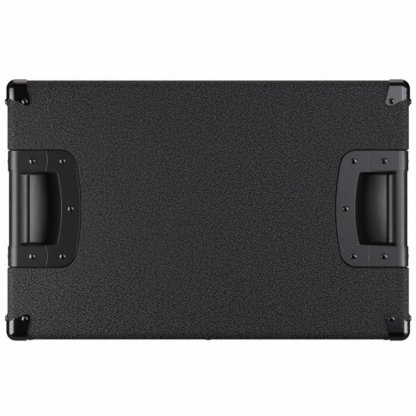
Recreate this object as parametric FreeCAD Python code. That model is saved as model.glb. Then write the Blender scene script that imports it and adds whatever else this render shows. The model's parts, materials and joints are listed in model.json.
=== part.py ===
import FreeCAD, Part
import math
import os

os.makedirs("parts", exist_ok=True)

V = FreeCAD.Vector

# Cabinet over the covering, without the feet
cab_width = 609.6
cab_depth = 393.7
cab_height = 508.0
panel_thickness = 18.0
covering_thickness = 1.0
edge_radius = 12.7
finger_count = 13
fit = 0.05
cut_over = 5.0
same_place = 0.01

# Rubber feet
foot_height = 19.0
foot_radius = 19.0
foot_taper = 3.0
foot_inset = 62.0
foot_recess_radius = 8.5
foot_recess_depth = 9.0
foot_edge = 1.5
foot_hole_clearance = 0.3

# Wood screws with a domed head
screw_head_radius = 4.7
screw_head_height = 2.6
screw_head_rim = 0.7
screw_shank_radius = 2.0
screw_length = 15.0
screw_tip_radius = 0.6
screw_tip_length = 4.0
pilot_clearance = 0.06

# Corner protectors
corner_thickness = 1.8
corner_along_width = 29.5
corner_along_depth = 29.0
corner_lip = 17.0
corner_lip_radius = 7.0
corner_screw_side = 27.0
corner_screw_end = 32.0
corner_tip_radius = 7.2

# Recessed bar handles
handle_length = 176.0
handle_reach = 111.0
handle_forward = 2.0
flange_bow_radius = 345.0
flange_corner_radius = 24.0
flange_thickness = 3.2
flange_edge_radius = 0.8
handle_gap = 1.2
handle_inset = 0.5
flange_width = 28.8
saddle_length = 30.6
mouth_bow_radius = 235.0
mouth_corner_radius = 6.0
mouth_draft = 2.0
mouth_edge_radius = 0.8
dish_wall = 2.5
bar_diameter = 31.0
bar_wall = 2.0
bar_clearance = 0.1
bar_end_gap = 1.5
saddle_wall = 2.0
saddle_opening = 6.0
strap_thickness = 1.4
strap_reach = 60.2
strap_bow = 3.0
strap_edge_radius = 0.45
strap_clearance = 0.2
strap_screw_inset = 22.0
flange_screw_inset = 26.8
flange_screw_margin = 15.7
pocket_clearance = 0.5

# Front: grille, pads, baffle
grille_recess = 3.0
grille_gap = 1.5
grille_frame_thickness = 12.0
grille_frame_width = 38.0
cloth_thickness = 0.8
cloth_turnover = 22.0
pad_thickness = 1.4
pad_length = 60.0
pad_width = 20.0
pad_spread = 310.0
pad_margin = 1.0
baffle_thickness = 18.0
baffle_clearance = 0.5
batten_size = 20.0

# Back panel
back_panel_thickness = 15.0
back_panel_recess = 1.0
back_panel_gap = 1.0
back_screw_inset = 14.0
cup_washer_radius = 7.5
cup_washer_height = 1.6
cup_washer_hole = 3.0
cup_washer_edge = 2.0
cup_washer_lip = 0.5
oval_head_radius = 4.4
oval_head_height = 2.6
oval_head_gap = 0.1
back_screw_grip = 8.0

# Twelve-inch driver, measured back from the baffle
frame_radius = 154.5
bolt_circle_radius = 148.5
bolt_count = 8
cutout_radius = 141.5
gasket_thickness = 3.0
gasket_margin = 1.0
basket_sheet = 1.6
flange_inner_radius = 137.0
shoulder_radius = 131.0
shoulder_depth = 22.0
shelf_outer_radius = 85.0
shelf_inner_radius = 67.0
shelf_depth = 60.0
seat_radius = 63.0
seat_depth = 78.0
seat_hole_radius = 27.0
window_angle = 31.0
window_margin = 3.0
cone_radius = 122.0
cone_neck_depth = 52.0
cone_sheet = 1.2
cone_curve = 5.0
surround_waves = 3
surround_amplitude = 0.75
surround_sheet = 0.7
dust_cap_radius = 36.0
dust_cap_height = 13.0
dust_cap_sheet = 0.8
dust_cap_seam = 1.4
coil_radius = 22.4
coil_wall = 0.4
winding_thickness = 0.6
winding_length = 14.0
coil_gap = 0.8
coil_stand = 4.0
spider_waves = 5
spider_amplitude = 1.4
spider_sheet = 0.6
spider_lip = 8.0
spider_edge_gap = 1.0
part_gap = 0.3
front_plate_radius = 62.0
front_plate_thickness = 6.5
magnet_radius = 78.0
magnet_hole_radius = 31.0
magnet_thickness = 20.0
back_plate_radius = 64.0
back_plate_thickness = 7.0
pole_vent_radius = 8.0
bolt_radius = 2.5
bolt_hole_radius = 2.9
bolt_head_radius = 4.25
bolt_head_height = 4.8
bolt_head_edge = 0.6
bolt_stand = 0.5
t_nut_flange_radius = 9.5
t_nut_flange_thickness = 1.5
t_nut_barrel_radius = 3.6
t_nut_barrel_length = 9.0
t_nut_end_gap = 0.2

# Jack cup, jacks and leads
jack_height = 183.0
cup_width = 96.0
cup_height = 60.0
cup_depth = 26.0
cup_draft = 5.0
cup_wall = 2.0
cup_flange = 14.0
cup_flange_thickness = 1.5
cup_corner_radius = 9.0
cup_hole_gap = 1.0
cup_screw_length = 11.0
cup_screw_stand = 0.2
flat_head_radius = 3.75
flat_head_gap = 0.15
flat_head_depth = 1.6
jack_spacing = 38.0
jack_body_size = 17.0
jack_body_length = 28.0
jack_bush_radius = 4.7
jack_bush_length = 7.5
jack_bore_radius = 3.25
jack_bore_length = 32.0
jack_hole_gap = 0.1
jack_nut_across_flats = 14.0
jack_nut_thickness = 2.6
lug_width = 6.3
lug_thickness = 0.8
lug_length = 12.0
lug_spread = 5.0
lead_radius = 1.7
lead_sag = 55.0
lead_spread = 4.0
lead_jack_straight = 34.0
lead_jack_run = 56.0
lead_driver_run = 46.0
lead_driver_straight = 30.0
jumper_radius = 1.1
jumper_margin = 2.5
terminal_length = 10.0
terminal_width = 8.0
terminal_height = 3.2
terminal_grip = 5.0
terminal_slot_gap = 0.1
strip_width = 34.0
strip_thickness = 2.0
strip_margin = 4.0
strip_overhang = 1.0
tag_inset = 2.0
tag_spread = 9.0
tinsel_radius = 0.8
tinsel_land_radius = 78.0
tinsel_straight = 8.0
tinsel_rise = 12.0
tinsel_drop = 6.0
tinsel_side = 0.5
tinsel_window_gap = 1.5

# Planes and halves that follow from the sizes above
half_w = cab_width / 2
half_d = cab_depth / 2
z_bottom = foot_height
z_top = foot_height + cab_height
z_mid = (z_bottom + z_top) / 2
wood_w = half_w - covering_thickness
wood_d = half_d - covering_thickness
wood_bottom = z_bottom + covering_thickness
wood_top = z_top - covering_thickness
hole_w = wood_w - panel_thickness
hole_bottom = wood_bottom + panel_thickness
hole_top = wood_top - panel_thickness
open_w = hole_w - covering_thickness
open_bottom = hole_bottom + covering_thickness
open_top = hole_top - covering_thickness
grille_front = -half_d + grille_recess
frame_front = grille_front + cloth_thickness
frame_back = frame_front + grille_frame_thickness
pad_front = frame_back + cloth_thickness
baffle_front = pad_front + 2 * pad_thickness
baffle_back = baffle_front + baffle_thickness
back_face = half_d - back_panel_recess
back_inner = back_face - back_panel_thickness
handle_y = -handle_forward
jack_z = z_bottom + jack_height
handle_half = handle_length / 2
mouth_length = handle_length - 2 * saddle_length
mouth_half = mouth_length / 2
mouth_reach = handle_reach - flange_width
bar_radius = bar_diameter / 2
bar_offset = handle_inset + strap_thickness + bar_clearance + bar_radius
pilot_radius = screw_shank_radius + pilot_clearance


def block(x0, x1, y0, y1, z0, z1):
    return Part.makeBox(x1 - x0, y1 - y0, z1 - z0, V(x0, y0, z0))


def face_of(edges):
    return Part.Face(Part.Wire(edges))


def polygon(points):
    return Part.Face(Part.makePolygon([V(*p) for p in points + points[:1]]))


def line(p, q):
    return Part.LineSegment(V(*p), V(*q)).toShape()


def arc(p, m, q):
    return Part.Arc(V(*p), V(*m), V(*q)).toShape()


def place(shape, at, toward=(0, 0, 1)):
    out = shape.copy()
    out.Placement = FreeCAD.Placement(V(*at), FreeCAD.Rotation(V(0, 0, 1), V(*toward)))
    return out


def moved(shape, dx, dy, dz):
    out = shape.copy()
    out.translate(V(dx, dy, dz))
    return out


def flipped_x(shape):
    return shape.mirror(V(0, 0, 0), V(1, 0, 0))


def flipped_y(shape, y=0.0):
    return shape.mirror(V(0, y, 0), V(0, 1, 0))


def flipped_z(shape):
    return shape.mirror(V(0, 0, z_mid), V(0, 0, 1))


def one_solid(shape):
    shape = shape.removeSplitter()
    solids = shape.Solids
    if len(solids) == 1:
        return solids[0]
    return Part.makeCompound(solids)


def export(name, shape):
    solids = shape.Solids
    for solid in solids:
        if not solid.isValid():
            print("not valid:", name)
    whole = solids[0] if len(solids) == 1 else Part.makeCompound(solids)
    whole.exportStep("parts/" + name + ".step")
    print(name, len(solids), round(sum(s.Volume for s in solids) / 1000.0, 2), "cm3")


# Point half way along a round cap that falls from its crown on the axis to its rim
def cap_middle(radius, rise):
    ball = (radius * radius + rise * rise) / (2 * rise)
    a = math.asin(radius / ball) / 2
    return ball * math.sin(a), rise - ball * (1 - math.cos(a))


def domed_screw(length):
    rim = screw_head_rim
    tip = screw_tip_radius
    neck = -length + screw_tip_length
    mid_r, mid_z = cap_middle(screw_head_radius, screw_head_height - rim)
    head = face_of([
        line((0, 0, -length), (tip, 0, -length)),
        line((tip, 0, -length), (screw_shank_radius, 0, neck)),
        line((screw_shank_radius, 0, neck), (screw_shank_radius, 0, 0)),
        line((screw_shank_radius, 0, 0), (screw_head_radius, 0, 0)),
        line((screw_head_radius, 0, 0), (screw_head_radius, 0, rim)),
        arc((screw_head_radius, 0, rim),
            (mid_r, 0, rim + mid_z),
            (0, 0, screw_head_height)),
        line((0, 0, screw_head_height), (0, 0, -length)),
    ])
    return head.revolve(V(0, 0, 0), V(0, 0, 1), 360)


def pin_hole(radius, depth):
    return Part.makeCylinder(radius, depth + 2 * cut_over, V(0, 0, -depth))


# Rounded outer form of the cabinet at a depth below the covering's face
def cabinet_form(inset):
    box = block(-half_w + inset, half_w - inset, -half_d + inset, half_d - inset,
                z_bottom + inset, z_top - inset)
    return box.makeFillet(edge_radius - inset, box.Edges)


# Outline with straight ends, rounded corners and a bowed far side, in the plane of one face
def bowed_outline(half, reach, bow, corner, draft=0.0):
    a = math.radians(draft)
    d = (math.cos(a), -math.sin(a))
    n = (-math.sin(a), -math.cos(a))
    centre = reach - bow
    px = n[0] * corner - centre
    py = half + n[1] * corner
    b = px * d[0] + py * d[1]
    s = -b + math.sqrt(b * b - (px * px + py * py - (bow - corner) ** 2))
    line_end = (s * d[0], half + s * d[1])
    c = (line_end[0] + n[0] * corner, line_end[1] + n[1] * corner)
    turn = math.atan2(c[1], c[0] - centre)
    bow_end = (centre + bow * math.cos(turn), bow * math.sin(turn))
    middle = (math.pi / 2 - a + turn) / 2
    knee = (c[0] + corner * math.cos(middle), c[1] + corner * math.sin(middle))
    return face_of([
        line((0, -half, 0), (0, half, 0)),
        line((0, half, 0), (line_end[0], line_end[1], 0)),
        arc((line_end[0], line_end[1], 0), (knee[0], knee[1], 0), (bow_end[0], bow_end[1], 0)),
        arc((bow_end[0], bow_end[1], 0), (reach, 0, 0), (bow_end[0], -bow_end[1], 0)),
        arc((bow_end[0], -bow_end[1], 0), (knee[0], -knee[1], 0), (line_end[0], -line_end[1], 0)),
        line((line_end[0], -line_end[1], 0), (0, -half, 0)),
    ])


# In a handle's own frame the cabinet edge lies on Y, the top face on Z = 0 and the side face on X = 0
def swap_faces(shape):
    return shape.mirror(V(0, 0, 0), V(1, 0, 1))


def both_faces(shape):
    return [shape, swap_faces(shape)]


# Edges of a shape with every point on another shape
def edges_on(shape, other):
    return [e for e in shape.Edges
            if all(other.distToShape(Part.Vertex(p))[0] < same_place for p in e.discretize(5))]


def scoop(grow, first, sweep):
    outline = bowed_outline(mouth_half + grow, mouth_reach + grow, mouth_bow_radius + grow,
                            mouth_corner_radius + grow, mouth_draft)
    solid = outline.revolve(V(0, 0, 0), V(0, 1, 0), sweep)
    solid.rotate(V(0, 0, 0), V(0, 1, 0), first)
    return solid


def flange_slab(grow, top, bottom):
    outline = bowed_outline(handle_half + grow, handle_reach + grow, flange_bow_radius + grow,
                            flange_corner_radius + grow)
    slab = outline.extrude(V(0, 0, -(bottom - top)))
    slab.translate(V(0, 0, -top))
    return slab


def strap_form(grow):
    outer = handle_inset - grow
    inner = handle_inset + strap_thickness + grow
    reach = strap_reach + grow
    c = bar_offset
    ro = (c - outer) * math.sqrt(0.5)
    ri = (c - inner) * math.sqrt(0.5)
    over = cut_over
    y0 = mouth_half + strap_clearance - grow
    y1 = handle_half - strap_clearance + grow
    section = face_of([
        line((reach, y0, -outer), (c, y0, -outer)),
        arc((c, y0, -outer), (c - ro, y0, -c + ro), (outer, y0, -c)),
        line((outer, y0, -c), (outer, y0, -reach)),
        line((outer, y0, -reach), (inner, y0, -reach)),
        line((inner, y0, -reach), (inner, y0, -c)),
        arc((inner, y0, -c), (c - ri, y0, -c + ri), (c, y0, -inner)),
        line((c, y0, -inner), (reach, y0, -inner)),
        line((reach, y0, -inner), (reach, y0, -outer)),
    ])
    sheet = section.extrude(V(0, y1 - y0, 0))
    shoulder = reach - strap_bow
    tongue = face_of([
        line((-over, y0, over), (shoulder, y0, over)),
        arc((shoulder, y0, over), (reach, (y0 + y1) / 2, over), (shoulder, y1, over)),
        line((shoulder, y1, over), (-over, y1, over)),
        line((-over, y1, over), (-over, y0, over)),
    ]).extrude(V(0, 0, -over - c))
    return sheet.common(tongue.fuse(swap_faces(tongue)))


# Strap with its outer edges rounded off
def rounded_strap():
    sharp = one_solid(strap_form(0.0))
    c = bar_offset
    outer = handle_inset
    side = strap_reach + cut_over
    y1 = handle_half
    flat = polygon([(c, 0, -outer), (side, 0, -outer), (side, y1, -outer), (c, y1, -outer)])
    bend = Part.makeCylinder(c - outer, y1, V(c, 0, -c), V(0, 1, 0)).Faces
    bend = [f for f in bend if f.Area > 2 * c * y1][0]
    edges = []
    for face in (flat, swap_faces(flat), bend):
        edges += [e for e in edges_on(sharp, face) if abs(e.tangentAt(e.FirstParameter).y) < 0.9]
    return sharp.makeFillet(strap_edge_radius, edges)


strap_screw_y = handle_half - flange_screw_margin
strap_screw_reach = strap_reach - strap_screw_inset
flange_screw_reach = handle_reach - flange_screw_inset
middle_screw_reach = (mouth_reach + handle_reach) / 2
top_handle_screws = [
    (strap_screw_reach, strap_screw_y), (strap_screw_reach, -strap_screw_y),
    (flange_screw_reach, strap_screw_y), (flange_screw_reach, -strap_screw_y),
    (middle_screw_reach, 0.0),
]
saddle_reach = bar_offset + bar_radius + saddle_wall
saddle_cut = bar_offset + saddle_opening

handle_pins = [place(pin_hole(pilot_radius, screw_length + 1), (u, v, -handle_inset))
               for u, v in top_handle_screws]
handle_pins = Part.makeCompound(handle_pins + [swap_faces(p) for p in handle_pins])

# Handle dish: flanges on both faces, scoop between them and a saddle for each end of the bar
rear_block = block(handle_inset, saddle_reach, mouth_half, handle_half, -saddle_reach, -handle_inset)
scoop_shell = scoop(dish_wall, 0, 90).common(
    block(handle_inset, cab_width, -handle_length, handle_length, -cab_width, -handle_inset))
slab = flange_slab(0.0, handle_inset, handle_inset + flange_thickness)
trim_box = block(handle_inset, cab_width, -handle_length, handle_length, -cab_width, -handle_inset)
dish = slab.common(trim_box).fuse([swap_faces(slab).common(trim_box), scoop_shell, rear_block,
                                   flipped_y(rear_block)])
rear_strap_pocket = strap_form(strap_clearance)
corner_cut = block(-cut_over, saddle_cut, mouth_half - cut_over, handle_half + cut_over,
                   -saddle_cut, cut_over)
seat_cut = Part.makeCylinder(bar_radius + bar_clearance, handle_length + 2 * cut_over,
                             V(bar_offset, -handle_half - cut_over, -bar_offset), V(0, 1, 0))
dish = dish.cut([scoop(0.0, -20, 130), rear_strap_pocket, flipped_y(rear_strap_pocket),
                 corner_cut, flipped_y(corner_cut), seat_cut, handle_pins])
dish = one_solid(dish)

# Dish mouth and flange outline rounded off where they meet the open air
flange_top = [f for f in slab.common(trim_box).Faces if abs(f.CenterOfMass.z + handle_inset) < same_place][0]
mouth_wall = scoop(0.0, -20, 130).Shells[0]
mouth_edges = [e for side in both_faces(flange_top) for e in edges_on(dish, side) if edges_on(e, mouth_wall)]
dish = dish.makeFillet(mouth_edge_radius, mouth_edges)
rim_edges = [e for side in both_faces(flange_top.OuterWire) for e in edges_on(dish, side)]
dish = dish.makeFillet(flange_edge_radius, rim_edges)

# Handle bar: a plain tube held between the saddles and the straps
bar_half = handle_half - bar_end_gap
bar = Part.makeCylinder(bar_radius, 2 * bar_half, V(bar_offset, -bar_half, -bar_offset), V(0, 1, 0))
bar = bar.cut(Part.makeCylinder(bar_radius - bar_wall, 2 * bar_half,
                                V(bar_offset, -bar_half, -bar_offset), V(0, 1, 0)))

strap = rounded_strap()
rear_strap = one_solid(strap.cut(handle_pins))
front_strap = one_solid(flipped_y(strap).cut(handle_pins))

screw = domed_screw(screw_length)
top_screws = [place(screw, (u, v, -handle_inset)) for u, v in top_handle_screws]
one_handle_screws = top_screws + [swap_faces(s) for s in top_screws]

# Room that the handle needs in the panels and the covering
clear = pocket_clearance
end_room = block(-cut_over, saddle_reach + clear, -handle_half - handle_gap, handle_half + handle_gap,
                 -saddle_reach - clear, cut_over)
slab_room = flange_slab(handle_gap, -cut_over, handle_inset + flange_thickness + clear)
handle_room = slab_room.fuse([swap_faces(slab_room), scoop(dish_wall + clear, -5, 100), end_room])
handle_room = handle_room.removeSplitter()

left_shift = (-half_w, handle_y, z_top)


def left_handle(shape):
    return moved(shape, *left_shift)


def right_handle(shape):
    return flipped_x(left_handle(shape))


export("left_handle_dish", left_handle(dish))
export("right_handle_dish", right_handle(dish))
export("left_handle_bar", left_handle(bar))
export("right_handle_bar", right_handle(bar))
export("left_handle_front_strap", left_handle(front_strap))
export("left_handle_rear_strap", left_handle(rear_strap))
export("right_handle_front_strap", right_handle(front_strap))
export("right_handle_rear_strap", right_handle(rear_strap))
export("handle_screws", Part.makeCompound(
    [left_handle(s) for s in one_handle_screws] + [right_handle(s) for s in one_handle_screws]))

handle_rooms = [left_handle(handle_room), right_handle(handle_room)]
wood_pins = [left_handle(handle_pins), right_handle(handle_pins)]


# Corner protectors, drawn at the front left top corner
def tangent_point(q, c, radius, side):
    dx, dy = c[0] - q[0], c[1] - q[1]
    far = math.hypot(dx, dy)
    a = math.atan2(dy, dx) + side * math.asin(radius / far)
    reach = math.sqrt(far * far - radius * radius)
    return (q[0] + reach * math.cos(a), q[1] + reach * math.sin(a))


out = cut_over
tip = (corner_screw_side, corner_screw_end)
near = tangent_point((corner_along_width, 0), tip, corner_tip_radius, -1)
far = tangent_point((0, corner_along_depth), tip, corner_tip_radius, 1)
aim = math.atan2(near[1] + far[1] - 2 * tip[1], near[0] + far[0] - 2 * tip[0])
nose = (tip[0] + corner_tip_radius * math.cos(aim), tip[1] + corner_tip_radius * math.sin(aim))
leg_outline = face_of([
    line((-out, -out, 0), (corner_along_width, -out, 0)),
    line((corner_along_width, -out, 0), (corner_along_width, 0, 0)),
    line((corner_along_width, 0, 0), (near[0], near[1], 0)),
    arc((near[0], near[1], 0), (nose[0], nose[1], 0), (far[0], far[1], 0)),
    line((far[0], far[1], 0), (0, corner_along_depth, 0)),
    line((0, corner_along_depth, 0), (-out, corner_along_depth, 0)),
    line((-out, corner_along_depth, 0), (-out, -out, 0)),
])
leg = leg_outline.extrude(V(0, 0, -2 * out))
leg.translate(V(0, 0, out))
cap_top = block(-out, corner_along_width, -out, corner_along_depth, -corner_lip, out)
lip_end = corner_lip + corner_lip_radius
lip_web = block(corner_lip - 1, lip_end, -out, out, -lip_end, -corner_lip + 1)
lip_web = lip_web.cut(Part.makeCylinder(corner_lip_radius, 4 * out, V(lip_end, -2 * out, -lip_end),
                                        V(0, 1, 0)))
corner_region = leg.fuse([swap_faces(leg), cap_top, swap_faces(cap_top), lip_web])
corner_region = moved(corner_region, -half_w, -half_d, z_top)
corner_hole = place(pin_hole(pilot_radius, screw_length + 2), (tip[0], tip[1], corner_thickness + fit))
corner_holes = [moved(h, -half_w, -half_d, z_top) for h in both_faces(corner_hole)]
corner_skin = cabinet_form(-fit - corner_thickness).cut(cabinet_form(-fit))
corner = one_solid(corner_skin.common(corner_region).cut(corner_holes))
corner_screw = place(screw, (tip[0], tip[1], corner_thickness + fit))
corner_pair = [moved(s, -half_w, -half_d, z_top) for s in both_faces(corner_screw)]


def eight_corners(shape):
    left_front_top = shape
    found = {}
    for rear in (False, True):
        a = flipped_y(left_front_top) if rear else left_front_top
        for right in (False, True):
            b = flipped_x(a) if right else a
            for low in (False, True):
                c = flipped_z(b) if low else b
                name = ("bottom" if low else "top", "rear" if rear else "front", "right" if right else "left")
                found["_".join(name)] = c
    return found


for name, shape in eight_corners(corner).items():
    export("corner_" + name, shape)
export("corner_screws", Part.makeCompound(
    [s for pick in corner_pair for s in eight_corners(pick).values()]))
corner_pins = [h for pick in corner_holes for h in eight_corners(pick).values()]

# Rubber feet
foot_x = half_w - foot_inset
foot_y = half_d - foot_inset
foot_places = [(x, y) for x in (-foot_x, foot_x) for y in (-foot_y, foot_y)]
foot_hole = screw_shank_radius + foot_hole_clearance
foot_low = foot_radius - foot_taper
foot = face_of([
    line((foot_hole, 0, foot_recess_depth), (foot_hole, 0, foot_height)),
    line((foot_hole, 0, foot_height), (foot_radius, 0, foot_height)),
    line((foot_radius, 0, foot_height), (foot_low, 0, foot_edge)),
    line((foot_low, 0, foot_edge), (foot_low - foot_edge, 0, 0)),
    line((foot_low - foot_edge, 0, 0), (foot_recess_radius, 0, 0)),
    line((foot_recess_radius, 0, 0), (foot_recess_radius, 0, foot_recess_depth)),
    line((foot_recess_radius, 0, foot_recess_depth), (foot_hole, 0, foot_recess_depth)),
]).revolve(V(0, 0, 0), V(0, 0, 1), 360)
foot_names = ["foot_left_front", "foot_left_rear", "foot_right_front", "foot_right_rear"]
for name, (x, y) in zip(foot_names, foot_places):
    export(name, moved(foot, x, y, 0))
foot_screw_length = foot_height - foot_recess_depth + screw_length
foot_screw = domed_screw(foot_screw_length)
export("foot_screws", Part.makeCompound(
    [place(foot_screw, (x, y, foot_recess_depth), (0, 0, -1)) for x, y in foot_places]))
foot_pins = [Part.makeCylinder(pilot_radius, screw_length + 1, V(x, y, z_bottom)) for x, y in foot_places]

# Carcass panels with finger joints
wood = cabinet_form(covering_thickness)
tunnel = block(-hole_w, hole_w, -half_d, half_d, hole_bottom, hole_top)
ring = wood.cut(tunnel)
pitch = 2 * wood_d / finger_count
far_out = cab_width + cab_height


def finger_slices(parity):
    return [block(-far_out, far_out, -wood_d + i * pitch, -wood_d + (i + 1) * pitch, -far_out, far_out)
            for i in range(finger_count) if i % 2 == parity]


corner_zone = block(-far_out, -hole_w, -half_d, half_d, hole_top, far_out)
corner_zones = Part.makeCompound([corner_zone, flipped_x(corner_zone), flipped_z(corner_zone),
                                  flipped_z(flipped_x(corner_zone))])
side_fingers = corner_zones.common(Part.makeCompound(finger_slices(1)))
flat_fingers = corner_zones.common(Part.makeCompound(finger_slices(0)))
top_zone = block(-far_out, far_out, -half_d, half_d, hole_top, far_out)
left_zone = block(-far_out, -hole_w, -half_d, half_d, -far_out, far_out)
top_panel = ring.common(top_zone).cut(side_fingers)
bottom_panel = flipped_z(top_panel)
left_panel = ring.common(left_zone).cut(flat_fingers)
right_panel = flipped_x(left_panel)
top_cutters = handle_rooms + wood_pins + corner_pins
export("top_panel", one_solid(top_panel.cut(top_cutters)))
export("bottom_panel", one_solid(bottom_panel.cut(corner_pins + foot_pins)))
export("left_side_panel", one_solid(left_panel.cut(top_cutters)))
export("right_side_panel", one_solid(right_panel.cut(top_cutters)))

# Vinyl covering over all outer faces, turned into the front and rear openings
skin = cabinet_form(0.0).cut(wood)
front_mouth = block(-open_w, open_w, -half_d - cut_over, baffle_front, open_bottom, open_top)
rear_mouth = block(-open_w, open_w, back_inner, half_d + cut_over, open_bottom, open_top)
front_turn = block(-hole_w, hole_w, -wood_d, baffle_front, hole_bottom, hole_top)
rear_turn = block(-hole_w, hole_w, back_inner, wood_d, hole_bottom, hole_top)
covering = skin.fuse([front_turn.cut(front_mouth), rear_turn.cut(rear_mouth)])
covering = covering.cut([front_mouth, rear_mouth] + handle_rooms + corner_pins + foot_pins)
export("vinyl_covering", one_solid(covering))

# Baffle, battens and back panel
bolt_places = [(bolt_circle_radius * math.cos(2 * math.pi * (i + 0.5) / bolt_count),
                bolt_circle_radius * math.sin(2 * math.pi * (i + 0.5) / bolt_count))
               for i in range(bolt_count)]


def along_y(radius, y0, y1, x, z):
    return Part.makeCylinder(radius, y1 - y0, V(x, y0, z), V(0, 1, 0))


gap = baffle_clearance
baffle = block(-hole_w + gap, hole_w - gap, baffle_front, baffle_back, hole_bottom + gap, hole_top - gap)
cut_front = baffle_front - cut_over
cut_back = baffle_back + cut_over
barrel_end = baffle_front + t_nut_barrel_length + t_nut_end_gap
baffle = baffle.cut([along_y(cutout_radius, cut_front, cut_back, 0, z_mid)]
                    + [along_y(bolt_hole_radius, cut_front, cut_back, x, z_mid + z) for x, z in bolt_places]
                    + [along_y(t_nut_barrel_radius + pilot_clearance, cut_front, barrel_end, x, z_mid + z)
                       for x, z in bolt_places])
export("baffle_board", one_solid(baffle))


def batten_ring(y0, y1):
    b = batten_size
    return Part.makeCompound([
        block(-hole_w, hole_w, y0, y1, hole_top - b, hole_top),
        block(-hole_w, hole_w, y0, y1, hole_bottom, hole_bottom + b),
        block(-hole_w, -hole_w + b, y0, y1, hole_bottom + b, hole_top - b),
        block(hole_w - b, hole_w, y0, y1, hole_bottom + b, hole_top - b),
    ])


baffle_battens = batten_ring(baffle_back, baffle_back + batten_size)
back_battens = batten_ring(back_inner - batten_size, back_inner)
back_x = open_w - back_screw_inset
back_z = (open_top - open_bottom) / 2 - back_screw_inset
back_places = [(i * back_x, z_mid + k * back_z) for i in (-1, 0, 1) for k in (-1, 0, 1) if i or k]
back_pins = [along_y(pilot_radius, back_inner - batten_size / 2, back_face + cut_over, x, z)
             for x, z in back_places]
export("baffle_battens", baffle_battens.cut(handle_rooms + wood_pins))
export("back_battens", back_battens.cut(back_pins))


def rounded_prism(half_x, half_z, radius, y0, y1, cx, cz):
    box = block(cx - half_x, cx + half_x, y0, y1, cz - half_z, cz + half_z)
    return box.makeFillet(radius, [e for e in box.Edges if abs(e.tangentAt(e.FirstParameter).y) > 0.9])


def rounded_loop(half_x, half_z, radius, y):
    prism = rounded_prism(half_x, half_z, radius, y, y + 1, 0, jack_z)
    face = [f for f in prism.Faces if abs(f.CenterOfMass.y - y) < 0.001][0]
    return face.OuterWire


def tapered_cup(grow, y_back, y_floor):
    half_x = cup_width / 2 + grow
    half_z = cup_height / 2 + grow
    r = cup_corner_radius + grow
    return Part.makeLoft([rounded_loop(half_x, half_z, r, y_back),
                          rounded_loop(half_x - cup_draft, half_z - cup_draft, r, y_floor)], True)


panel_gap = back_panel_gap
cup_room = cup_wall + cup_hole_gap
cup_hole = rounded_prism(cup_width / 2 + cup_room, cup_height / 2 + cup_room, cup_corner_radius + cup_room,
                         back_inner - cut_over, back_face + cut_over, 0, jack_z)
cup_screw_x = (cup_width + cup_flange) / 2
cup_screw_z = (cup_height + cup_flange) / 2
cup_screw_places = [(i * cup_screw_x, jack_z + k * cup_screw_z) for i in (-1, 1) for k in (-1, 1)]
cup_pins = [along_y(pilot_radius, back_face - cup_screw_length - 1, back_face + cut_over, x, z)
            for x, z in cup_screw_places]
back_panel = block(-open_w + panel_gap, open_w - panel_gap, back_inner, back_face,
                   open_bottom + panel_gap, open_top - panel_gap)
export("back_panel", one_solid(back_panel.cut([cup_hole] + back_pins + cup_pins)))


def turned(points, at=(0, 0, 0)):
    solid = polygon([(r, a, 0) for r, a in points]).revolve(V(0, 0, 0), V(0, 1, 0), 360)
    solid.translate(V(*at))
    return solid


washer_points = [(cup_washer_hole, 0), (cup_washer_radius, 0),
                 (cup_washer_radius - cup_washer_edge, cup_washer_height),
                 (oval_head_radius + oval_head_gap, cup_washer_height), (cup_washer_hole, cup_washer_lip)]
export("back_panel_cup_washers", Part.makeCompound(
    [turned(washer_points, (x, back_face, z)) for x, z in back_places]))
oval_end = -back_panel_thickness - back_screw_grip
oval_points = [(0, oval_end), (screw_shank_radius, oval_end + screw_tip_length),
               (screw_shank_radius, oval_head_gap),
               (cup_washer_hole - oval_head_gap, cup_washer_lip + oval_head_gap),
               (oval_head_radius - fit, cup_washer_height),
               (oval_head_radius * 0.62, oval_head_height - 0.3), (0, oval_head_height)]
export("back_panel_screws", Part.makeCompound(
    [turned(oval_points, (x, back_face, z)) for x, z in back_places]))

# Jack cup with two jacks
cup_floor = back_face - cup_depth
flange_plate = rounded_prism(cup_width / 2 + cup_flange, cup_height / 2 + cup_flange, cup_corner_radius,
                             back_face, back_face + cup_flange_thickness, 0, jack_z)
cup_out = tapered_cup(cup_wall, back_face, cup_floor - cup_wall)
cup_in = tapered_cup(0.0, back_face + cup_flange_thickness, cup_floor)
jack_x = jack_spacing / 2
jack_hole_radius = jack_bush_radius + jack_hole_gap
jack_holes = [along_y(jack_hole_radius, cup_floor - 2 * cut_over, cup_floor + cut_over, x, jack_z)
              for x in (-jack_x, jack_x)]
flat_top = cup_flange_thickness + cup_screw_stand
flat_low = cup_flange_thickness - flat_head_depth
sink_points = [(0, flat_low - flat_head_gap), (screw_shank_radius + flat_head_gap, flat_low - flat_head_gap),
               (flat_head_radius + flat_head_gap, flat_top), (0, flat_top)]
sinks = [turned(sink_points, (x, back_face, z)) for x, z in cup_screw_places]
jack_cup = flange_plate.fuse(cup_out).cut([cup_in] + jack_holes + sinks)
export("jack_cup", one_solid(jack_cup))
flat_points = [(0, -cup_screw_length), (screw_shank_radius, -cup_screw_length + screw_tip_length),
               (screw_shank_radius, flat_low + flat_head_gap), (flat_head_radius, flat_top), (0, flat_top)]
export("jack_cup_screws", Part.makeCompound(
    [turned(flat_points, (x, back_face, z)) for x, z in cup_screw_places]))

jack_front = cup_floor - cup_wall
jack_tail = jack_front - jack_body_length
bush_tip = jack_front + jack_bush_length


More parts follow.
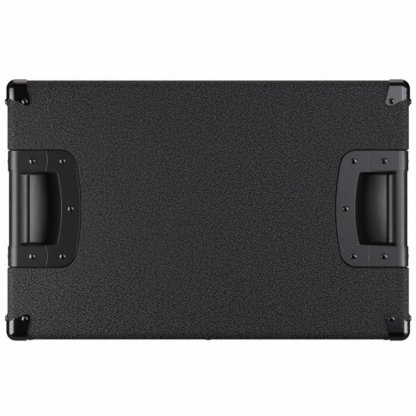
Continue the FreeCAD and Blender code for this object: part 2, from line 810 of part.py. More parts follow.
def jack(x):
    h = jack_body_size / 2
    body = block(x - h, x + h, jack_tail, jack_front, jack_z - h, jack_z + h)
    bush = along_y(jack_bush_radius, jack_front - 1, bush_tip, x, jack_z)
    lugs = [block(x - lug_width / 2, x + lug_width / 2, jack_tail - lug_length, jack_tail + 2,
                  jack_z + s * lug_spread - lug_thickness / 2, jack_z + s * lug_spread + lug_thickness / 2)
            for s in (-1, 1)]
    bore = along_y(jack_bore_radius, bush_tip - jack_bore_length, bush_tip + cut_over, x, jack_z)
    return one_solid(body.fuse([bush] + lugs).cut(bore))


export("input_jack", jack(-jack_x))
export("link_jack", jack(jack_x))


def jack_nut(x):
    r = jack_nut_across_flats / math.sqrt(3)
    corners = [(x + r * math.cos(math.pi / 3 * i), cup_floor, jack_z + r * math.sin(math.pi / 3 * i))
               for i in range(6)]
    nut = polygon(corners).extrude(V(0, jack_nut_thickness, 0))
    return nut.cut(along_y(jack_bush_radius + fit, cup_floor - cut_over, cup_floor + 2 * cut_over, x, jack_z))


export("jack_nuts", Part.makeCompound([jack_nut(-jack_x), jack_nut(jack_x)]))

# Driver, turned about Y through the middle of the baffle
gt = gasket_thickness
sheet = basket_sheet


def driver(shape):
    return moved(shape, 0, baffle_back, z_mid)


def driver_bolt_holes(radius):
    return [along_y(radius, -cut_over, shoulder_depth, x, z) for x, z in bolt_places]


gasket_outer = frame_radius - gasket_margin
gasket = turned([(cutout_radius, 0), (gasket_outer, 0), (gasket_outer, gt), (cutout_radius, gt)])
export("speaker_gasket", driver(one_solid(gasket.cut(driver_bolt_holes(bolt_hole_radius)))))

basket_path = [(frame_radius, gt), (flange_inner_radius, gt), (shoulder_radius, shoulder_depth),
               (shelf_outer_radius, shelf_depth), (shelf_inner_radius, shelf_depth),
               (seat_radius, seat_depth), (seat_hole_radius, seat_depth)]


def offset_path(points, distance):
    moved_lines = []
    for p, q in zip(points, points[1:]):
        far_q = math.hypot(q[0] - p[0], q[1] - p[1])
        nx, ny = (q[1] - p[1]) / far_q, -(q[0] - p[0]) / far_q
        moved_lines.append(((p[0] + nx * distance, p[1] + ny * distance),
                            (q[0] + nx * distance, q[1] + ny * distance)))
    shifted = [moved_lines[0][0]]
    for (a, b), (c, d) in zip(moved_lines, moved_lines[1:]):
        rx, ry = b[0] - a[0], b[1] - a[1]
        sx, sy = d[0] - c[0], d[1] - c[1]
        t = ((c[0] - a[0]) * sy - (c[1] - a[1]) * sx) / (rx * sy - ry * sx)
        shifted.append((a[0] + t * rx, a[1] + t * ry))
    shifted.append(moved_lines[-1][1])
    return shifted


basket = turned(basket_path + offset_path(basket_path, sheet)[::-1])
window_inner = shelf_outer_radius + window_margin
window_outer = shoulder_radius - window_margin
windows = []
for i in range(bolt_count):
    cutter = polygon([(window_inner, -cut_over, 0), (window_outer, -cut_over, 0),
                      (window_outer, seat_depth, 0), (window_inner, seat_depth, 0)])
    cutter = cutter.revolve(V(0, 0, 0), V(0, 1, 0), window_angle)
    cutter.rotate(V(0, 0, 0), V(0, 1, 0), 90 - window_angle / 2 + 360.0 * i / bolt_count)
    windows.append(cutter)
basket = basket.cut(windows + driver_bolt_holes(bolt_hole_radius))
export("speaker_basket", driver(one_solid(basket)))

plate_front = seat_depth + sheet
plate_back = plate_front + front_plate_thickness
magnet_back = plate_back + magnet_thickness
yoke_back = magnet_back + back_plate_thickness
former_outer = coil_radius + coil_wall
winding_outer = former_outer + winding_thickness
pole_radius = coil_radius - coil_gap
gap_outer = winding_outer + coil_gap
export("magnet_front_plate", driver(turned([
    (gap_outer, plate_front), (front_plate_radius, plate_front), (front_plate_radius, plate_back),
    (gap_outer, plate_back)])))
export("ferrite_magnet", driver(turned([
    (magnet_hole_radius, plate_back), (magnet_radius, plate_back), (magnet_radius, magnet_back),
    (magnet_hole_radius, magnet_back)])))
export("magnet_back_plate", driver(turned([
    (pole_vent_radius, plate_front), (pole_radius, plate_front), (pole_radius, magnet_back),
    (back_plate_radius, magnet_back), (back_plate_radius, yoke_back), (pole_vent_radius, yoke_back)])))

coil_mid = (plate_front + plate_back) / 2
winding_front = coil_mid - winding_length / 2
winding_back = coil_mid + winding_length / 2
coil_front = cone_neck_depth - coil_stand
export("voice_coil", driver(turned([
    (coil_radius, coil_front), (former_outer, coil_front), (former_outer, winding_front),
    (winding_outer, winding_front), (winding_outer, winding_back), (coil_radius, winding_back)])))

# Cone with a curved flank, sharing one arc between its two faces
neck_radius = former_outer + fit
surround_depth = gt - surround_sheet
cone_rim_depth = surround_depth
cone_mid = ((neck_radius + cone_radius) / 2 - cone_curve, (cone_neck_depth + cone_rim_depth) / 2 - cone_curve)


def arc_through(p, m, q):
    ax, ay = m[0] - p[0], m[1] - p[1]
    bx, by = q[0] - p[0], q[1] - p[1]
    d = 2 * (ax * by - ay * bx)
    ux = (by * (ax * ax + ay * ay) - ay * (bx * bx + by * by)) / d
    uy = (ax * (bx * bx + by * by) - bx * (ax * ax + ay * ay)) / d
    return (p[0] + ux, p[1] + uy), math.hypot(ux, uy)


cone_front_neck = (neck_radius, cone_neck_depth)
cone_front_rim = (cone_radius, cone_rim_depth)
cone_centre, cone_arc = arc_through(cone_front_neck, cone_mid, cone_front_rim)
lean = -1 if cone_centre[1] < cone_rim_depth else 1


def cone_depth(r, back=0.0):
    radius = cone_arc - lean * back
    return cone_centre[1] - lean * math.sqrt(radius ** 2 - (r - cone_centre[0]) ** 2)


def on_cone(r, back=0.0):
    return (r, cone_depth(r, back), 0)


half_r = (neck_radius + cone_radius) / 2
cone = face_of([
    arc(on_cone(neck_radius), on_cone(half_r), on_cone(cone_radius)),
    line(on_cone(cone_radius), on_cone(cone_radius, cone_sheet)),
    arc(on_cone(cone_radius, cone_sheet), on_cone(half_r, cone_sheet), on_cone(neck_radius, cone_sheet)),
    line(on_cone(neck_radius, cone_sheet), on_cone(neck_radius)),
]).revolve(V(0, 0, 0), V(0, 1, 0), 360)
export("cone", driver(cone))

cap_edge = cone_depth(dust_cap_radius) - fit
cap_top_y = cap_edge - dust_cap_height
cap_sheet = dust_cap_sheet
cap_inner = dust_cap_radius - dust_cap_seam
outer_mid = cap_middle(dust_cap_radius, dust_cap_height)
inner_mid = cap_middle(cap_inner, dust_cap_height - cap_sheet)
cap = face_of([
    arc((dust_cap_radius, cap_edge, 0), (outer_mid[0], cap_edge - outer_mid[1], 0), (0, cap_top_y, 0)),
    line((0, cap_top_y, 0), (0, cap_top_y + cap_sheet, 0)),
    arc((0, cap_top_y + cap_sheet, 0), (inner_mid[0], cap_edge - inner_mid[1], 0), (cap_inner, cap_edge, 0)),
    line((cap_inner, cap_edge, 0), (dust_cap_radius, cap_edge, 0)),
]).revolve(V(0, 0, 0), V(0, 1, 0), 360)
export("dust_cap", driver(cap))


def waved_ring(r0, r1, depth, waves, amplitude, thick, lip):
    step = (r1 - r0) / (2 * waves)

    def run(shift, forward):
        edges = []
        order = range(2 * waves)
        for i in order:
            a, b = r0 + i * step, r0 + (i + 1) * step
            bulge = -amplitude if i % 2 else amplitude
            edges.append((a, b, bulge))
        if not forward:
            edges = [(b, a, bulge) for a, b, bulge in edges[::-1]]
        return [arc((a, depth + shift, 0), ((a + b) / 2, depth + shift + bulge, 0), (b, depth + shift, 0))
                for a, b, bulge in edges]

    edges = run(0.0, True)
    edges += [line((r1, depth, 0), (r1 + lip, depth, 0)),
              line((r1 + lip, depth, 0), (r1 + lip, depth + thick, 0)),
              line((r1 + lip, depth + thick, 0), (r1, depth + thick, 0))]
    edges += run(thick, False)
    edges += [line((r0, depth + thick, 0), (r0, depth, 0))]
    return face_of(edges).revolve(V(0, 0, 0), V(0, 1, 0), 360)


surround_rim = cutout_radius - part_gap
surround_lip = surround_rim - flange_inner_radius
export("surround", driver(waved_ring(cone_radius + part_gap, flange_inner_radius, surround_depth,
                                     surround_waves, surround_amplitude, surround_sheet, surround_lip)))
spider_depth = shelf_depth - spider_sheet
spider_outer = shelf_inner_radius - spider_edge_gap
export("spider", driver(waved_ring(former_outer + part_gap, spider_outer, spider_depth, spider_waves,
                                   spider_amplitude, spider_sheet, spider_lip)))

# Bolts from behind the rim into T-nuts on the front of the baffle
rim_back = gt + sheet
head_back = rim_back + bolt_head_height
bolt_tip = -baffle_thickness - bolt_stand
bolt_points = [(0, bolt_tip), (bolt_radius, bolt_tip), (bolt_radius, rim_back),
               (bolt_head_radius, rim_back), (bolt_head_radius, head_back - bolt_head_edge),
               (bolt_head_radius - bolt_head_edge, head_back), (0, head_back)]
export("speaker_bolts", Part.makeCompound([driver(turned(bolt_points, (x, 0, z))) for x, z in bolt_places]))
nut_hole = bolt_radius + fit
t_nut_points = [(nut_hole, -baffle_thickness - t_nut_flange_thickness),
                (t_nut_flange_radius, -baffle_thickness - t_nut_flange_thickness),
                (t_nut_flange_radius, -baffle_thickness), (t_nut_barrel_radius, -baffle_thickness),
                (t_nut_barrel_radius, -baffle_thickness + t_nut_barrel_length),
                (nut_hole, -baffle_thickness + t_nut_barrel_length)]
export("speaker_t_nuts", Part.makeCompound([driver(turned(t_nut_points, (x, 0, z))) for x, z in bolt_places]))

# Terminal strip below the axis, on the back of the shelf, with a tag for each lead
strip_front = shelf_depth + sheet
strip_back = strip_front + strip_thickness
strip_top = -shelf_inner_radius - strip_margin
strip_low = -shelf_outer_radius + strip_overhang
tag_tip = strip_low - lug_length
strip = block(-strip_width / 2, strip_width / 2, strip_front, strip_back, strip_low, strip_top)
tags = [block(s * tag_spread - lug_width / 2, s * tag_spread + lug_width / 2, strip_back,
              strip_back + lug_thickness, tag_tip, strip_top - tag_inset) for s in (-1, 1)]
export("terminal_strip", driver(Part.makeCompound([strip] + tags)))


def tube(points, radius, label):
    runs = [V(*p) for p in points]
    edges = []
    start = runs[0]
    length = 0.0
    for before, here, after in zip(runs, runs[1:], runs[2:]):
        into = (before - here).normalize()
        away = (after - here).normalize()
        half_turn = (math.pi - into.getAngle(away)) / 2
        back_off = 0.45 * min((before - here).Length, (after - here).Length)
        bend = back_off / math.tan(half_turn)
        first = here + into * back_off
        last = here + away * back_off
        inward = (into + away).normalize()
        mid = here + inward * (bend / math.cos(half_turn) - bend)
        edges.append(Part.LineSegment(start, first).toShape())
        edges.append(Part.Arc(first, mid, last).toShape())
        print(label, "bend radius", round(bend, 1))
        start = last
    edges.append(Part.LineSegment(start, runs[-1]).toShape())
    path = Part.Wire(edges)
    circle = Part.Wire(Part.makeCircle(radius, runs[0], runs[1] - runs[0]))
    solid = path.makePipeShell([circle], True, False)
    if solid.Volume < 0:
        solid.reverse()
    print(label, "volume", round(solid.Volume, 1), "expected", round(math.pi * radius ** 2 * path.Length, 1))
    return Part.makeSolid(solid.Shells[0]) if solid.ShapeType != "Solid" else solid


# Push-on terminals and the leads between the input jack and the driver
def slotted(x0, x1, y0, y1, z0, z1, slot):
    return block(x0, x1, y0, y1, z0, z1).cut(block(*slot))


lug_tip_y = jack_tail - lug_length
hold = terminal_grip
half_tw = terminal_width / 2
half_th = terminal_height / 2
slot_w = lug_width / 2 + terminal_slot_gap
slot_t = lug_thickness / 2 + fit
jack_terminals = []
strip_terminals = []
tag_y = baffle_back + strip_back + lug_thickness / 2
tag_z = z_mid + tag_tip
for s in (-1, 1):
    zt = jack_z + s * lug_spread
    y_end = lug_tip_y + hold
    jack_terminals.append(slotted(
        -jack_x - half_tw, -jack_x + half_tw, y_end - terminal_length, y_end, zt - half_th, zt + half_th,
        (-jack_x - slot_w, -jack_x + slot_w, lug_tip_y - fit, y_end + 1, zt - slot_t, zt + slot_t)))
    xt = s * tag_spread
    z_end = tag_z + hold
    strip_terminals.append(slotted(
        xt - half_tw, xt + half_tw, tag_y - half_th, tag_y + half_th, z_end - terminal_length, z_end,
        (xt - slot_w, xt + slot_w, tag_y - slot_t, tag_y + slot_t, tag_z - fit, z_end + 1)))
export("push_on_terminals", Part.makeCompound(jack_terminals + strip_terminals))

lead_start_y = lug_tip_y + hold - terminal_length
lead_end_z = tag_z + hold - terminal_length
for name, s in (("speaker_lead_red", 1), ("speaker_lead_black", -1)):
    z0 = jack_z + s * lug_spread
    x0 = -jack_x
    x1 = s * tag_spread
    low = min(jack_z, lead_end_z) - lead_sag + s * lead_spread
    lead = tube([
        (x0, lead_start_y, z0),
        (x0, lead_start_y - lead_jack_straight, z0),
        (x0 * 0.7 + x1 * 0.3, lead_start_y - lead_jack_straight - lead_jack_run, low),
        (x0 * 0.3 + x1 * 0.7, tag_y + lead_driver_run, low),
        (x1, tag_y, lead_end_z - lead_driver_straight),
        (x1, tag_y, lead_end_z),
    ], lead_radius, name)
    jumper_y = jack_tail - jumper_margin
    jumper_start = V(-jack_x + lug_width / 2, jumper_y, z0)
    jumper = Part.makeCylinder(jumper_radius, 2 * jack_x - lug_width, jumper_start, V(1, 0, 0))
    export(name, Part.makeCompound([lead, jumper]))

# Tinsel leads from the tags through a basket window to the back of the cone
tinsel = []
land = tinsel_land_radius
for s in (-1, 1):
    x = s * (tag_spread + tinsel_side)
    top = -window_inner - tinsel_window_gap
    tinsel.append(tube([
        (x, strip_back, top),
        (x, shelf_depth - tinsel_straight, top),
        (x * 1.1, cone_depth(land) + tinsel_rise, -land - tinsel_drop),
        (x * 1.1, cone_depth(math.hypot(land, x * 1.1), cone_sheet) + part_gap + tinsel_radius, -land),
    ], tinsel_radius, "tinsel"))
export("tinsel_leads", driver(Part.makeCompound(tinsel)))

# Grille: frame, stretched cloth and hook-and-loop pads
frame_w = open_w - grille_gap - cloth_thickness
frame_low = open_bottom + grille_gap + cloth_thickness
frame_high = open_top - grille_gap - cloth_thickness
fw = grille_frame_width
grille_full = block(-frame_w, frame_w, frame_front, frame_back, frame_low, frame_high)
grille_hole = block(-frame_w + fw, frame_w - fw, frame_front - cut_over, frame_back + cut_over,
                    frame_low + fw, frame_high - fw)
export("grille_frame", one_solid(grille_full.cut(grille_hole)))
ct = cloth_thickness
turn = cloth_turnover
cloth = block(-frame_w - ct, frame_w + ct, grille_front, frame_back + ct, frame_low - ct, frame_high + ct)
cloth_back = block(-frame_w + turn, frame_w - turn, frame_back - cut_over, frame_back + cut_over,
                   frame_low + turn, frame_high - turn)
export("grille_cloth", one_solid(cloth.cut([grille_full, cloth_back])))
pad_x = frame_w - pad_width / 2 - pad_margin
pad_z = (frame_high - frame_low) / 2 - pad_width / 2 - pad_margin
pl = pad_length / 2
pw = pad_width / 2
pads = []
for i in (-1, 1):
    for k in (-1, 1):
        cx, cz = i * pad_spread / 2, z_mid + k * pad_z
        pads.append((cx - pl, cx + pl, cz - pw, cz + pw))
    pads.append((i * pad_x - pw, i * pad_x + pw, z_mid - pl, z_mid + pl))
export("grille_loop_pads", Part.makeCompound(
    [block(x0, x1, pad_front, pad_front + pad_thickness, z0, z1) for x0, x1, z0, z1 in pads]))
export("grille_hook_pads", Part.makeCompound(
    [block(x0, x1, pad_front + pad_thickness, baffle_front, z0, z1) for x0, x1, z0, z1 in pads]))
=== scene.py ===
import json
import math
import bmesh
import bpy
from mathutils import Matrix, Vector


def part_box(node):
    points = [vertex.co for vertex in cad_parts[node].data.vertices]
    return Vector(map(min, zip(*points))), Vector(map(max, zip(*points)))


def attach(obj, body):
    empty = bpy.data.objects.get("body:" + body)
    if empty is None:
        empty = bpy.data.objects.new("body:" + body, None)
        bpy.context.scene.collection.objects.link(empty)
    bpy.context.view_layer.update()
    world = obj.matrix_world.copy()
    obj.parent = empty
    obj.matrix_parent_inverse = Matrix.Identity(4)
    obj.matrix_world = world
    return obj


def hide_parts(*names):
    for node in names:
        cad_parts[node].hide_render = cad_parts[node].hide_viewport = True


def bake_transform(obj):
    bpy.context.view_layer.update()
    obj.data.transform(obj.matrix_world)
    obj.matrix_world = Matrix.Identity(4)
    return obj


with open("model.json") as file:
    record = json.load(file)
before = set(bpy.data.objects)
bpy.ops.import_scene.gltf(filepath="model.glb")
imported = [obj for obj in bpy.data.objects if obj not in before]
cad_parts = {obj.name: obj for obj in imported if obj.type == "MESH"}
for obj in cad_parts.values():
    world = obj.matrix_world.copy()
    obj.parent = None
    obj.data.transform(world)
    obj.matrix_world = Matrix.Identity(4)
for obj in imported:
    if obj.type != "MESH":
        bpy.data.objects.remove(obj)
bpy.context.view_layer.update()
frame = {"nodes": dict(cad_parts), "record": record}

nodes = frame["nodes"]
slot_of = {part["node"]: part["material_slot"] for part in frame["record"]["subparts"]}
body_of = {node: body for body, held in frame["record"]["behaviour"]["bodies"].items() for node in held}
fixed_end = {soft["node"]: soft["fixed_end_y_m"] for joint in frame["record"]["behaviour"]["joints"]
             for soft in joint.get("deforming_nodes", [])}
mm = 0.001

# Cabinet sizes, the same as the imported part's
half_width = 304.8 * mm
half_depth = 196.85 * mm
bottom_z = 19.0 * mm
top_z = 527.0 * mm
middle_z = (bottom_z + top_z) / 2
edge_radius = 12.7 * mm
edge_steps = 12
opening_half_width = 284.8 * mm
opening_bottom = 39.0 * mm
opening_top = 507.0 * mm
baffle_front = -177.45 * mm
back_inner = 180.85 * mm
back_face = 195.85 * mm
vinyl_thickness = 0.9 * mm
vinyl_roll = 1.6 * mm
ledge = 2.0 * mm

# Handle opening in the covering, in the plane of one face
handle_y = -2.0 * mm
handle_half = 88.0 * mm
handle_reach = 111.0 * mm
flange_bow = 345.0 * mm
flange_corner = 24.0 * mm
flange_recess = 3.9 * mm
opening_gap = 1.6 * mm
outside = 5.0 * mm
dark_margin = 6.0 * mm
# Painted shade in the handle grooves: from which depth, how far in, and how dark
groove_top = 0.45 * mm
groove_reach = 0.13
painted_groove_shade = 0.08

# Room in comparisons of places and directions
same_place = 0.02 * mm
slack = 0.1 * mm
face_on = 0.9

# Edges that bend by more than these degrees stay sharp in the shading
sharp_angle = 35
sheet_sharp_angle = 40

# Screw places on a handle's face (from the edge, along the edge) and on a corner
handle_screws = [(38.2 * mm, 72.3 * mm), (38.2 * mm, -72.3 * mm), (84.2 * mm, 72.3 * mm),
                 (84.2 * mm, -72.3 * mm), (96.6 * mm, 0.0)]
handle_inset = 0.5 * mm
side_sink = 1.3 * mm
strap_straight = 48.0 * mm
strap_tip = 12.0 * mm
strap_short = 0.85 * mm
pocket_end = (54 * mm, 63 * mm)
bar_middle = 17.5 * mm
bar_room = 40.0 * mm
bar_slot = 20.7 * mm
slot_near = 51.0 * mm
slot_far = 57.0 * mm
grip_fullness = 1.07
corner_screw = (27.0 * mm, 32.0 * mm)
corner_stand = 1.85 * mm
leg_spread = 0.13
leg_pivot = 16.0 * mm
leg_width = 21.5 * mm
leg_length = 28.0 * mm
leg_rise = 2.6 * mm
leg_end = (17.0 * mm, 30.0 * mm)
foot_x = 242.8 * mm
foot_y = 134.85 * mm
foot_recess = 9.0 * mm
back_screw_x = 270.8 * mm
back_screw_z = 220.0 * mm
cup_z = 202.0 * mm
cup_screw_x = 55.0 * mm
cup_screw_z = 37.0 * mm
cup_screw_stand = 0.1 * mm

# Driver and grille
grille_half_width = 283.3 * mm
grille_bottom = 40.5 * mm
grille_top = 505.5 * mm
grille_front = -193.85 * mm
grille_back = -180.25 * mm
cloth_turnover = 22.0 * mm
cloth_thickness = 0.7 * mm
cloth_edge = 2.5 * mm


# Meshes
def link(obj):
    bpy.context.scene.collection.objects.link(obj)
    return obj


def piece_from(bm, name):
    mesh = bpy.data.meshes.new(name)
    bm.to_mesh(mesh)
    bm.free()
    return link(bpy.data.objects.new(name, mesh))


def settle(obj):
    graph = bpy.context.evaluated_depsgraph_get()
    mesh = bpy.data.meshes.new_from_object(obj.evaluated_get(graph))
    obj.modifiers.clear()
    obj.data = mesh
    mesh.name = obj.name
    return obj


def shade(obj, sharp_degrees):
    mesh = obj.data
    for face in mesh.polygons:
        face.use_smooth = True
    mesh.set_sharp_from_angle(angle=math.radians(sharp_degrees))
    weigh = obj.modifiers.new("even_shading", "WEIGHTED_NORMAL")
    weigh.keep_sharp = True
    weigh.weight = 80
    return settle(obj)


def boolean(obj, other, operation):
    step = obj.modifiers.new("cut", "BOOLEAN")
    step.solver = "EXACT"
    step.operation = operation
    step.object = other
    settle(obj)
    bpy.data.objects.remove(other)
    return obj


def thicken(obj, thickness):
    wall = obj.modifiers.new("thickness", "SOLIDIFY")
    wall.thickness = thickness
    wall.offset = -1.0
    return settle(obj)


def sized_box(size, middle):
    bm = bmesh.new()
    bmesh.ops.create_cube(bm, size=1.0)
    bmesh.ops.scale(bm, vec=size, verts=bm.verts)
    bmesh.ops.translate(bm, vec=middle, verts=bm.verts)
    return bm


def block(name, low, high):
    size = Vector(high) - Vector(low)
    middle = (Vector(high) + Vector(low)) / 2
    return piece_from(sized_box(size, middle), name)


def prism(name, outline, rise):
    bm = bmesh.new()
    ring = [bm.verts.new(p) for p in outline]
    face = bm.faces.new(ring)
    grown = bmesh.ops.extrude_face_region(bm, geom=[face])
    moved = [v for v in grown["geom"] if isinstance(v, bmesh.types.BMVert)]
    bmesh.ops.translate(bm, vec=rise, verts=moved)
    bmesh.ops.recalc_face_normals(bm, faces=bm.faces)
    return piece_from(bm, name)


def cad_copy(node):
    bm = bmesh.new()
    bm.from_mesh(nodes[node].data)
    bmesh.ops.remove_doubles(bm, verts=bm.verts, dist=0.002 * mm)
    return bm


def melt_flats(bm):
    bmesh.ops.dissolve_limit(bm, angle_limit=math.radians(0.1), verts=bm.verts, edges=bm.edges)


def round_edges(bm, width, steps, least_angle, least_length=0.0, chosen=None):
    edges = [e for e in bm.edges if len(e.link_faces) == 2 and e.calc_length() > least_length
             and e.calc_face_angle_signed(0.0) > math.radians(least_angle) and (not chosen or chosen(e))]
    bmesh.ops.bevel(bm, geom=edges, offset=width, segments=steps, profile=0.5, affect="EDGES",
                    clamp_overlap=False)


def dress(obj, body, slot, *replaced):
    obj.data.materials.clear()
    obj.data.materials.append(finish[slot])
    if body:
        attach(obj, body)
    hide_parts(*replaced)
    return obj


# Materials
class Finish:
    def __init__(self, name, color, roughness, **sockets):
        self.material = bpy.data.materials.new(name)
        self.material.use_nodes = True
        self.tree = self.material.node_tree
        self.shader = self.tree.nodes["Principled BSDF"]
        self.shader.inputs["Base Color"].default_value = (*color, 1.0)
        self.shader.inputs["Roughness"].default_value = roughness
        self.material.diffuse_color = (*color, 1.0)
        for socket, value in sockets.items():
            self.shader.inputs[socket.replace("_", " ")].default_value = value
        self.place = self.node("ShaderNodeTexCoord").outputs["Object"]

    def node(self, kind, **settings):
        made = self.tree.nodes.new(kind)
        for key, value in settings.items():
            setattr(made, key, value)
        return made

    def feed(self, source, target):
        self.tree.links.new(source, target)

    def mapped(self, scale=(1, 1, 1), turn=(0, 0, 0)):
        made = self.node("ShaderNodeMapping")
        made.inputs["Scale"].default_value = scale
        made.inputs["Rotation"].default_value = [math.radians(a) for a in turn]
        self.feed(self.place, made.inputs["Vector"])
        return made.outputs["Vector"]

    def noise(self, scale, detail=2.0, rough=0.5, vector=None, twist=0.0):
        made = self.node("ShaderNodeTexNoise")
        made.inputs["Scale"].default_value = scale
        made.inputs["Detail"].default_value = detail
        made.inputs["Roughness"].default_value = rough
        made.inputs["Distortion"].default_value = twist
        self.feed(vector or self.place, made.inputs["Vector"])
        return made.outputs["Fac"]

    def cells(self, scale):
        made = self.node("ShaderNodeTexVoronoi", feature="F1")
        made.inputs["Scale"].default_value = scale
        self.feed(self.place, made.inputs["Vector"])
        return made.outputs["Distance"]

    def waves(self, scale, direction, vector=None, twist=0.0, detail=2.0, twist_scale=1.0):
        made = self.node("ShaderNodeTexWave", bands_direction=direction)
        made.inputs["Scale"].default_value = scale
        made.inputs["Distortion"].default_value = twist
        made.inputs["Detail"].default_value = detail
        made.inputs["Detail Scale"].default_value = twist_scale
        self.feed(vector or self.place, made.inputs["Vector"])
        return made.outputs["Fac"]

    def ramp(self, source, stops):
        made = self.node("ShaderNodeValToRGB")
        line = made.color_ramp
        while len(line.elements) < len(stops):
            line.elements.new(0.5)
        for element, (position, color) in zip(line.elements, stops):
            element.position = position
            element.color = (*color, 1.0)
        self.feed(source, made.inputs["Fac"])
        return made.outputs["Color"]

    def level(self, source, low, high, from_low=0.0, from_high=1.0):
        made = self.node("ShaderNodeMapRange")
        made.inputs["From Min"].default_value = from_low
        made.inputs["From Max"].default_value = from_high
        made.inputs["To Min"].default_value = low
        made.inputs["To Max"].default_value = high
        self.feed(source, made.inputs["Value"])
        return made.outputs["Result"]

    def math(self, operation, first, second):
        made = self.node("ShaderNodeMath", operation=operation)
        for socket, value in zip(made.inputs, (first, second)):
            if isinstance(value, (int, float)):
                socket.default_value = value
            else:
                self.feed(value, socket)
        return made.outputs["Value"]

    def shift(self, vector, source, amount):
        centred = self.node("ShaderNodeVectorMath", operation="SUBTRACT")
        centred.inputs[1].default_value = (0.5, 0.5, 0.5)
        self.feed(source, centred.inputs[0])
        scaled = self.node("ShaderNodeVectorMath", operation="SCALE")
        scaled.inputs["Scale"].default_value = amount
        self.feed(centred.outputs[0], scaled.inputs[0])
        moved = self.node("ShaderNodeVectorMath", operation="ADD")
        self.feed(vector, moved.inputs[0])
        self.feed(scaled.outputs[0], moved.inputs[1])
        return moved.outputs[0]

    def color(self, source):
        self.feed(source, self.shader.inputs["Base Color"])

    def roughness(self, source):
        self.feed(source, self.shader.inputs["Roughness"])

    def bump(self, height, depth, strength=1.0):
        made = self.node("ShaderNodeBump")
        made.inputs["Strength"].default_value = strength
        made.inputs["Distance"].default_value = depth
        self.feed(height, made.inputs["Height"])
        self.feed(made.outputs["Normal"], self.shader.inputs["Normal"])


vinyl_tone = 0.0176
grain_turn = 37.0
grain_scale = 288.0
grain_randomness = 0.5
grain_softness = 0.15
grain_depth = 0.65 * mm
drift_scale = 180.0
drift_amount = 2.0 * mm


def grained_vinyl(name, tone, grooved=False):
    f = Finish(name, (tone, tone, tone * 1.04), 0.6, Specular_IOR_Level=0.33)
    flat = f.mapped(turn=(90, 0, grain_turn))
    if grooved:
        f.place = f.node("ShaderNodeTexCoord").outputs["UV"]
        flat = f.mapped(turn=(0, 0, grain_turn))
    drift = f.node("ShaderNodeTexNoise", noise_dimensions="2D")
    drift.inputs["Scale"].default_value = drift_scale
    drift.inputs["Detail"].default_value = 2.0
    f.feed(flat, drift.inputs["Vector"])
    worn = f.shift(flat, drift.outputs["Color"], drift_amount)
    cell = f.node("ShaderNodeTexVoronoi", feature="SMOOTH_F1", voronoi_dimensions="2D")
    cell.inputs["Scale"].default_value = grain_scale
    cell.inputs["Randomness"].default_value = grain_randomness
    cell.inputs["Smoothness"].default_value = grain_softness
    f.feed(worn, cell.inputs["Vector"])
    raised = f.level(cell.outputs["Distance"], 1.0, 0.0, 0.0, 0.5)
    fine = f.noise(1500.0, 1.0, 0.5)
    height = f.math("ADD", f.math("MULTIPLY", raised, 0.85), f.math("MULTIPLY", fine, 0.2))
    # Colour follows the grain's height: the grain's own tone, with painted shade in its valleys and painted
    # highlight on its raised tops
    grain_tone_and_shade = f.ramp(height, [(0.15, (tone * 0.18, tone * 0.18, tone * 0.187)),
                          (0.95, (tone * 2.6, tone * 2.6, tone * 2.7))])
    # Painted shade: the colour is darkened down in the handle grooves
    if grooved:
        groove_shade = f.node("ShaderNodeAttribute", attribute_name="groove_shade").outputs["Fac"]
        shaded = f.node("ShaderNodeVectorMath", operation="SCALE")
        f.feed(grain_tone_and_shade, shaded.inputs[0])
        f.feed(groove_shade, shaded.inputs["Scale"])
        grain_tone_and_shade = shaded.outputs[0]
    f.color(grain_tone_and_shade)
    f.roughness(f.level(height, 0.75, 0.45, 0.2, 1.0))
    f.bump(height, grain_depth, 0.9)
    return f.material


def gloss_black(name, tone, roughness, **sockets):
    f = Finish(name, (tone, tone, tone * 1.05), roughness, **sockets)
    dust = f.noise(60.0, 4.0, 0.6)
    f.color(f.ramp(dust, [(0.3, (tone, tone, tone * 1.05)), (0.8, (tone * 1.3, tone * 1.3, tone * 1.36))]))
    f.roughness(f.level(dust, roughness * 0.94, roughness * 1.08, 0.35, 0.75))
    f.bump(f.noise(900.0, 1.0, 0.4), 0.004 * mm, 0.3)
    return f.material


def moulded_plastic(name, tone, roughness, grain, depth, tint=(1.0, 1.0, 1.05), **sockets):
    color = tuple(tone * part for part in tint)
    f = Finish(name, color, roughness, **sockets)
    pebble = f.noise(grain, 2.0, 0.55)
    cloudy = f.noise(35.0, 3.0, 0.5)
    f.color(f.ramp(cloudy, [(0.3, tuple(c * 0.8 for c in color)), (0.75, tuple(c * 1.3 for c in color))]))
    f.roughness(f.level(pebble, roughness * 0.85, roughness * 1.15, 0.3, 0.7))
    f.bump(pebble, depth, 0.8)
    return f.material


def brushed_metal(name, color, roughness, **sockets):
    f = Finish(name, color, roughness, Metallic=1.0, **sockets)
    streak = f.noise(900.0, 3.0, 0.6)
    tarnish = f.noise(50.0, 3.0, 0.55)
    dark = tuple(c * 0.75 for c in color)
    f.color(f.ramp(tarnish, [(0.35, dark), (0.7, color)]))
    f.roughness(f.level(streak, roughness * 0.75, roughness * 1.35, 0.3, 0.7))
    f.bump(streak, 0.01 * mm, 0.3)
    return f.material
